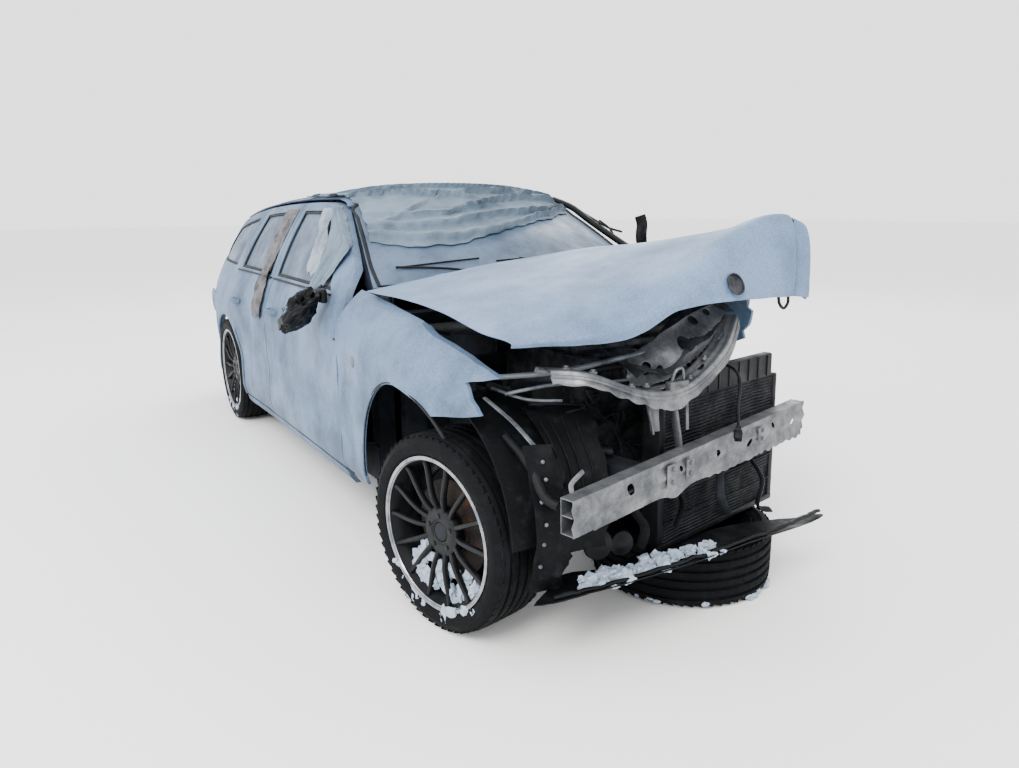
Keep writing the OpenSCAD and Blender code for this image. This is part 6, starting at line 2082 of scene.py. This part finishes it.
@dataclass
class Mirrors:
    """The broken door mirrors."""

    def build(self) -> None:
        """Builds the drooping right housing and the left fragment."""
        lean = Vector((-130, 135, -150)).normalized().to_track_quat("X", "Z").to_matrix()
        heart = Vector((-962, 888, 872))

        def hull(p: Vector) -> Vector:
            q = heart + lean @ Vector((p.x, p.y, p.z))
            return Shape.row((max(-1036, min(q.x, -887)), q.y, q.z))

        right = [Bench.lump((0, 0, 0), (122, 66, 46), 7, 0.34, 5, hull),
            Bench.lump((-60, 8, 20), (60, 50, 40), 12, 0.7, 4, hull)]
        Dresser.dress(Bench.join("mirror_right_housing", right, 50), "front_door_right", PLASTIC,
            "black_plastic", "mirror_right")
        arm = [Bench.rod([(-862, 856, 946), (-905, 850, 940), (-950, 852, 915), (-968, 858, 880)], 22,
            Shape.row, 14, 6, 0.7), Bench.block((-880, 810, 915), (-852, 905, 975), 9)]
        arm.append(Bench.place(Bench.drum(34, -6, 6, 32, 2), Shell.stand((-980, 888, 850), (-0.15, 1, 0.05)),
            Shape.row))
        Dresser.dress(Bench.join("mirror_right_arm", arm, 45), "front_door_right", PLASTIC, "black_plastic")
        rng, bits = random.Random(3), []
        for i in range(26):
            p = (Vector((rng.uniform(-115, 60), rng.uniform(-50, 50), rng.uniform(30, 56))) if i % 2
                else Vector((rng.uniform(-120, -20), -60, rng.uniform(-40, 40))))
            q = p + Vector((rng.uniform(-40, 40), rng.uniform(-22, 22), rng.uniform(-10, 12)))
            line = [tuple(heart + lean @ r) for r in (p, (p + q) / 2 + Vector((3, 4, 6)), q)]
            line = [(max(-1034, min(x, -889)), y, z) for x, y, z in line]
            bits.append(Bench.rod(line, rng.uniform(2, 6), Shape.row, 6, 4, 0.5))
        Dresser.dress(Bench.join("mirror_right_shards", bits, 50), "front_door_right", PALE_STRIP,
            "bare_alloy")
        left = [Bench.rod([(862, 856, 946), (900, 850, 944), (930, 850, 940)], 20, Shape.row, 14, 6, 0.7),
            Bench.block((852, 810, 915), (880, 905, 975), 9)]

        def stub(u: float, v: float, deep: float) -> Vector:
            a, b = math.pi * (u - 0.5) * 1.7, math.pi * (v - 0.5) * 0.9
            n = 1 + 0.16 * wrinkle((u * 300, v * 300, 0), 80, 9)
            x = 965 + (58 * n - deep) * math.cos(b) * math.sin(a)
            y = 862 - (46 * n - deep) * math.cos(b) * math.cos(a)
            return Shape.row((x, y, 952 + (58 * n - deep) * math.sin(b)))

        left.append(Bench.slab(30, 24, stub, 5))
        left.append(Bench.rod([(930, 872, 960), (938, 884, 1060), (930, 892, 1150), (938, 896, 1215),
            (926, 900, 1262)], 30, Shape.row, 16, 8, 0.4))
        left.append(Bench.lump((932, 886, 1120), (18, 30, 70), 11, 0.7, 4))
        Dresser.dress(Bench.join("mirror_left_stub", left, 50), "front_door_left", PLASTIC, "black_plastic",
            "mirror_left")
        trims = [Bench.rod([(608, 1260, 1358), (640, 1130, 1312), (664, 1010, 1244), (690, 910, 1186),
            (716, 810, 1130), (735, 740, 1092)], 24, Shape.row, 12, 6, 0.7),
            Bench.rod([(640, 1160, 1330), (690, 1060, 1270), (728, 930, 1205), (760, 850, 1180)], 12,
            Shape.row, 8, 6, 0.5), Bench.rod([(700, 960, 1240), (722, 900, 1196), (712, 850, 1150),
            (700, 800, 1120)], 13, Shape.row, 8, 6, 0.4)]
        Dresser.dress(Bench.join("left_pillar_trims", trims, 50), "body", PLASTIC, "black_plastic")


@dataclass
class Cloth:
    """Wet sheet over the screen top and the strips on the door."""

    thick: float = 0.003

    @staticmethod
    def over(u: float, v: float) -> Point:
        """Point over the windscreen for v under 1 and over the roof past it."""
        if v <= 1:
            return Shape.screen(0.97 * u, v)
        y = Shape.header(582 * u) + (v - 1) * 420
        x = u * Shape.rail_x(y) * 0.97
        return (x, y, Shape.roof(x, y) + 2)

    def roof_sheet(self) -> None:
        """Wrinkled sheet with long folds across the car."""
        hem = ((-1.0, 0.45), (-0.85, 0.375), (-0.68, 0.33), (-0.47, 0.32), (-0.3, 0.36), (0.0, 0.45),
            (0.38, 0.56), (1.0, 0.80))
        folds = ((0.03, 0.04, 26, 0.028, -0.1, 1.1), (0.13, 0.10, 30, 0.034, -0.1, 1.1),
            (0.25, 0.17, 24, 0.026, -0.05, 0.62), (0.22, 0.30, 30, 0.030, 0.28, 1.1),
            (0.47, 0.22, 26, 0.024, -0.1, 0.55), (0.30, 0.47, 32, 0.026, 0.3, 0.82),
            (0.62, 0.40, 26, 0.028, 0.2, 1.1), (0.56, 0.63, 18, 0.020, -0.1, 0.8),
            (0.74, 0.72, 14, 0.016, -0.1, 1.1), (0.12, 0.95, 22, 0.022, -0.1, 0.30),
            (0.90, 0.90, 9, 0.012, -0.1, 1.1))

        def reach(u: float) -> float:
            for (u0, v0), (u1, v1) in zip(hem, hem[1:]):
                if u <= u1:
                    t = (u - u0) / (u1 - u0)
                    return Shape.mix(v0, v1, t * t * (3 - 2 * t) * 0.5 + t * 0.5)
            return hem[-1][1]

        def ridges(a: float, b: float) -> float:
            total = 0.0
            for start, end, height, width, a0, a1 in folds:
                d = (b - Shape.mix(start, end, a) - 0.018 * math.sin(7 * a + 40 * start)) / (width * (1
                    + 0.35 * math.sin(5 * a + 9 * start)))
                span = Shape.clamp((a - a0) / 0.12) * Shape.clamp((a1 - a) / 0.12)
                total = max(total, 1.25 * height * span * math.exp(-((d if d > 0 else 3.4 * d) ** 2)))
            return total

        def spot(a: float, b: float) -> Vector:
            u = Shape.mix(-0.985, 0.925, a)
            ragged = 0.012 * math.sin(37 * a) + 0.008 * math.sin(91 * a + 1)
            v = Shape.mix(reach(u) + 0.012 + ragged * 0.6, 1.70 - 0.3 * u - abs(ragged), b)
            x, y, z = self.over(u, v)
            fold = min(42.0, ridges(a, b) + 5 * abs(wrinkle((a * 500, b * 1000 + 260 * a, 0), 210, 5)))
            edge = min(1.0, min(a, 1 - a, b, 1 - b) / 0.03)
            return Shape.row((x, y - 4 - 0.7 * fold, z + 6.5 + fold * (0.35 + 0.45 * edge)))

        piece = Bench.obj("roof_wet_sheet", Bench.sheet(200, 120, spot, self.thick), 75)
        Dresser.dress(piece, "body", CLOTH, "wet_cloth", "roof_cloth")
        self.declare(piece, "draped", ["roof_skin", "windscreen"])

    def strip(self, name: str, door: str, y0: float, y1: float, top: float, low: float, drift: float,
            finish: Finish, seed: float, *nodes: str) -> None:
        """One strip that hangs down the door.

        Args:
            name: name of the piece.
            door: body of the door that it hangs on.
            y0: front edge of its top.
            y1: rear edge of its top.
            top: height of its top.
            low: height of its lower end.
            drift: how far its lower end has moved back.
            finish: its finish.
            seed: pattern of its folds.
            nodes: frame nodes that it replaces.
        """
        def spot(a: float, b: float) -> Vector:
            z = Shape.mix(top - 2, low + 3 + 22 * abs(math.sin(9 * a + seed)), b)
            rag = 11 * wrinkle((0, b * 600, a * 2), 52, seed) + 5 * wrinkle((0, b * 600, a * 3), 18, seed)
            y = Shape.mix(y0 + 2, y1 - 2, a) + drift * b + rag + 9 * math.sin(7 * b + seed)
            fold = (9 + 9 * math.sin(a * 11 + 2.6 * math.sin(5 * b + seed))
                + 6 * wrinkle((a * 120, z, 0), 60, seed))
            return Shape.row((-(Shape.side(y, z) + 2.2 + max(0.4, min(24.0, fold))), y, z))

        piece = Bench.obj(name, Bench.sheet(36, 110, spot, 0.0022), 75)
        Dresser.dress(piece, door, finish, "wet_cloth", *nodes)
        self.declare(piece, "hung", [door + "_skin"])

    def flap(self) -> None:
        """Torn strip that lies along the roof's right edge."""
        def spot(a: float, b: float) -> Vector:
            y = Shape.mix(1320, 1840, b)
            x = Shape.rail_x(y) - 52 + 60 * a
            lift = 10 + 16 * a * math.sin(6 * b + 1) ** 2 + 5 * wrinkle((a * 60, y, 0), 70, 4)
            return Shape.row((-x, y, Shape.roof(min(x, Shape.rail_x(y)), y) + max(2.0, lift)))

        piece = Bench.obj("roof_edge_flap", Bench.sheet(14, 90, spot, 0.0024), 75)
        Dresser.dress(piece, "body", CLOTH, "wet_cloth")
        self.declare(piece, "laid", ["roof_skin"])

    @staticmethod
    def declare(piece: Piece, held: str, rests: list[str]) -> None:
        """Measures the made sheet and declares its flat size."""
        mesh = piece.data
        area = sum(p.area for p in mesh.polygons) / 2
        pts = [v.co for v in mesh.vertices]
        spread = [max(p[i] for p in pts) - min(p[i] for p in pts) for i in range(3)]
        longest = max(range(3), key=lambda i: spread[i])
        width = area / spread[longest]
        length = round(area / width, 3)
        log.info("%s: flat %.3f x %.3f m, area %.3f", piece.name, width, length, area)

    def swathe(self) -> None:
        """Cloth that falls from the roof's corner, over the pillar, to the mirror."""
        front = curve([(1190, 1325, 0), (1010, 1222, 0), (885, 1142, 0), (905, 1058, 0), (968, 978, 0)], 6)
        back = curve([(1330, 1345, 0), (1265, 1275, 0), (1195, 1205, 0), (1110, 1090, 0), (1070, 958, 0)], 6)

        def spot(a: float, b: float) -> Vector:
            y, z, _ = travel(front, b).lerp(travel(back, b), a)
            z = min(z, Shape.rail_z(y) + 8) + 9 * math.sin(11 * a) * b
            phase = a * 11.5 + 1.8 * math.sin(2.6 * b + 0.4) + 0.9 * wrinkle((a * 200, b * 520, 0), 120, 7)
            fold = (38 * abs(math.sin(phase)) ** 0.5 * (0.6 + 0.4 * math.sin(3 * a + 5 * b))
                + 5 * wrinkle((a * 160, b * 500, 0), 90, 7))
            rag = 5 * wrinkle((0, b * 500, a * 3), 26, 3)
            return Shape.row((-(Shape.side(y, z) + 4 + max(0.4, fold)), y + rag, z))

        piece = Bench.obj("pillar_swathe", Bench.sheet(70, 120, spot, 0.0024), 75)
        Dresser.dress(piece, "front_door_right", CLOTH, "wet_cloth")
        self.declare(piece, "hung", ["roof_skin", "front_door_right_skin"])

    def build(self) -> None:
        """Lays all of the cloth."""
        self.roof_sheet()
        self.swathe()
        self.strip("door_strip_front", "front_door_right", 1290, 1425, 1325, 1005, -190, PALE_CLOTH, 1.0,
            "door_cloth_right")
        self.strip("door_strip_rear", "rear_door_right", 1895, 2090, 1334, 740, 0, GREY_CLOTH, 4.0)
        self.flap()


# ---------------------------------------------------------------- studio


@dataclass(frozen=True)
class Studio:
    """Pale floor, soft light and the camera."""

    place: Point = (-1.86, -3.90925, 1.36)
    bearing: float = 30.9
    dip: float = 13.0
    roll: float = -0.3
    lens: float = 27.1
    pale: Colour = (0.90, 0.90, 0.885)

    def camera(self) -> None:
        """Places the camera."""
        data = bpy.data.cameras.new("camera")
        data.lens, data.sensor_width, data.clip_end = self.lens, 36, 200
        eye = bpy.data.objects.new("camera", data)
        bpy.context.scene.collection.objects.link(eye)
        a, d = math.radians(self.bearing), math.radians(self.dip)
        look = Vector((math.sin(a) * math.cos(d), math.cos(a) * math.cos(d), -math.sin(d)))
        turn = look.to_track_quat("-Z", "Y").to_matrix().to_4x4() @ Matrix.Rotation(math.radians(self.roll),
            4, "Z")
        eye.matrix_world = Matrix.Translation(self.place) @ turn
        bpy.context.scene.camera = eye

    def light(self, name: str, at: Point, aim: Point, size: float, power: float, colour: Colour) -> None:
        """One soft lamp aimed at a point."""
        data = bpy.data.lights.new(name, "AREA")
        data.shape, data.size, data.energy, data.color = "DISK", size, power, colour
        lamp = bpy.data.objects.new(name, data)
        bpy.context.scene.collection.objects.link(lamp)
        lamp.matrix_world = Matrix.Translation(at) @ (Vector(aim) - Vector(at)).to_track_quat("-Z",
            "Y").to_matrix().to_4x4()

    def build(self) -> None:
        """Lays the floor, lights the scene and sets the world."""
        bm = bmesh.new()
        bmesh.ops.create_grid(bm, x_segments=1, y_segments=1, size=60)
        floor = Bench.obj("floor", bm)
        mat = bpy.data.materials.new("pale_floor")
        mat.use_nodes = True
        shader = mat.node_tree.nodes["Principled BSDF"]
        shader.inputs["Base Color"].default_value = (*self.pale, 1)
        shader.inputs["Roughness"].default_value = 0.9
        floor.data.materials.append(mat)
        world = bpy.data.worlds.new("studio")
        world.use_nodes = True
        world.node_tree.nodes["Background"].inputs["Color"].default_value = (0.985, 0.99, 1.0, 1)
        world.node_tree.nodes["Background"].inputs["Strength"].default_value = 2.3
        bpy.context.scene.world = world
        self.light("key", (-5.5, -5.5, 6.5), (-0.2, -0.8, 0.6), 4.0, 900, (1.0, 0.985, 0.96))
        self.light("side", (-7.5, 1.5, 4.0), (-0.4, 0.2, 0.6), 4.0, 260, (0.86, 0.93, 1.0))
        self.light("rim", (5.0, 5.0, 6.0), (0, 0, 1.0), 5.0, 400, (0.9, 0.95, 1.0))


def main() -> None:
    """Builds the car in order."""
    logging.basicConfig(level=logging.INFO, stream=sys.stdout, format="%(message)s")
    random.seed(11)
    for stray in list(bpy.data.objects):
        bpy.data.objects.remove(stray)
    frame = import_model()
    nodes = frame["nodes"]
    Studio().camera()
    Nose().lead()
    for name, finish in (("floor_pan", UNDERSEAL), ("side_frames", INNER_PAINT), ("bulkhead", PRIMER),
            ("front_rails", PRIMER)):
        Dresser.keep(nodes, name, finish)
    SidePanels().build()
    Shell().build()
    RunningGear().build(nodes)
    Nose().build(nodes)
    Cabin().build()
    Mirrors().build()
    Cloth().build()
    Studio().build()


if __name__ == "__main__":
    main()
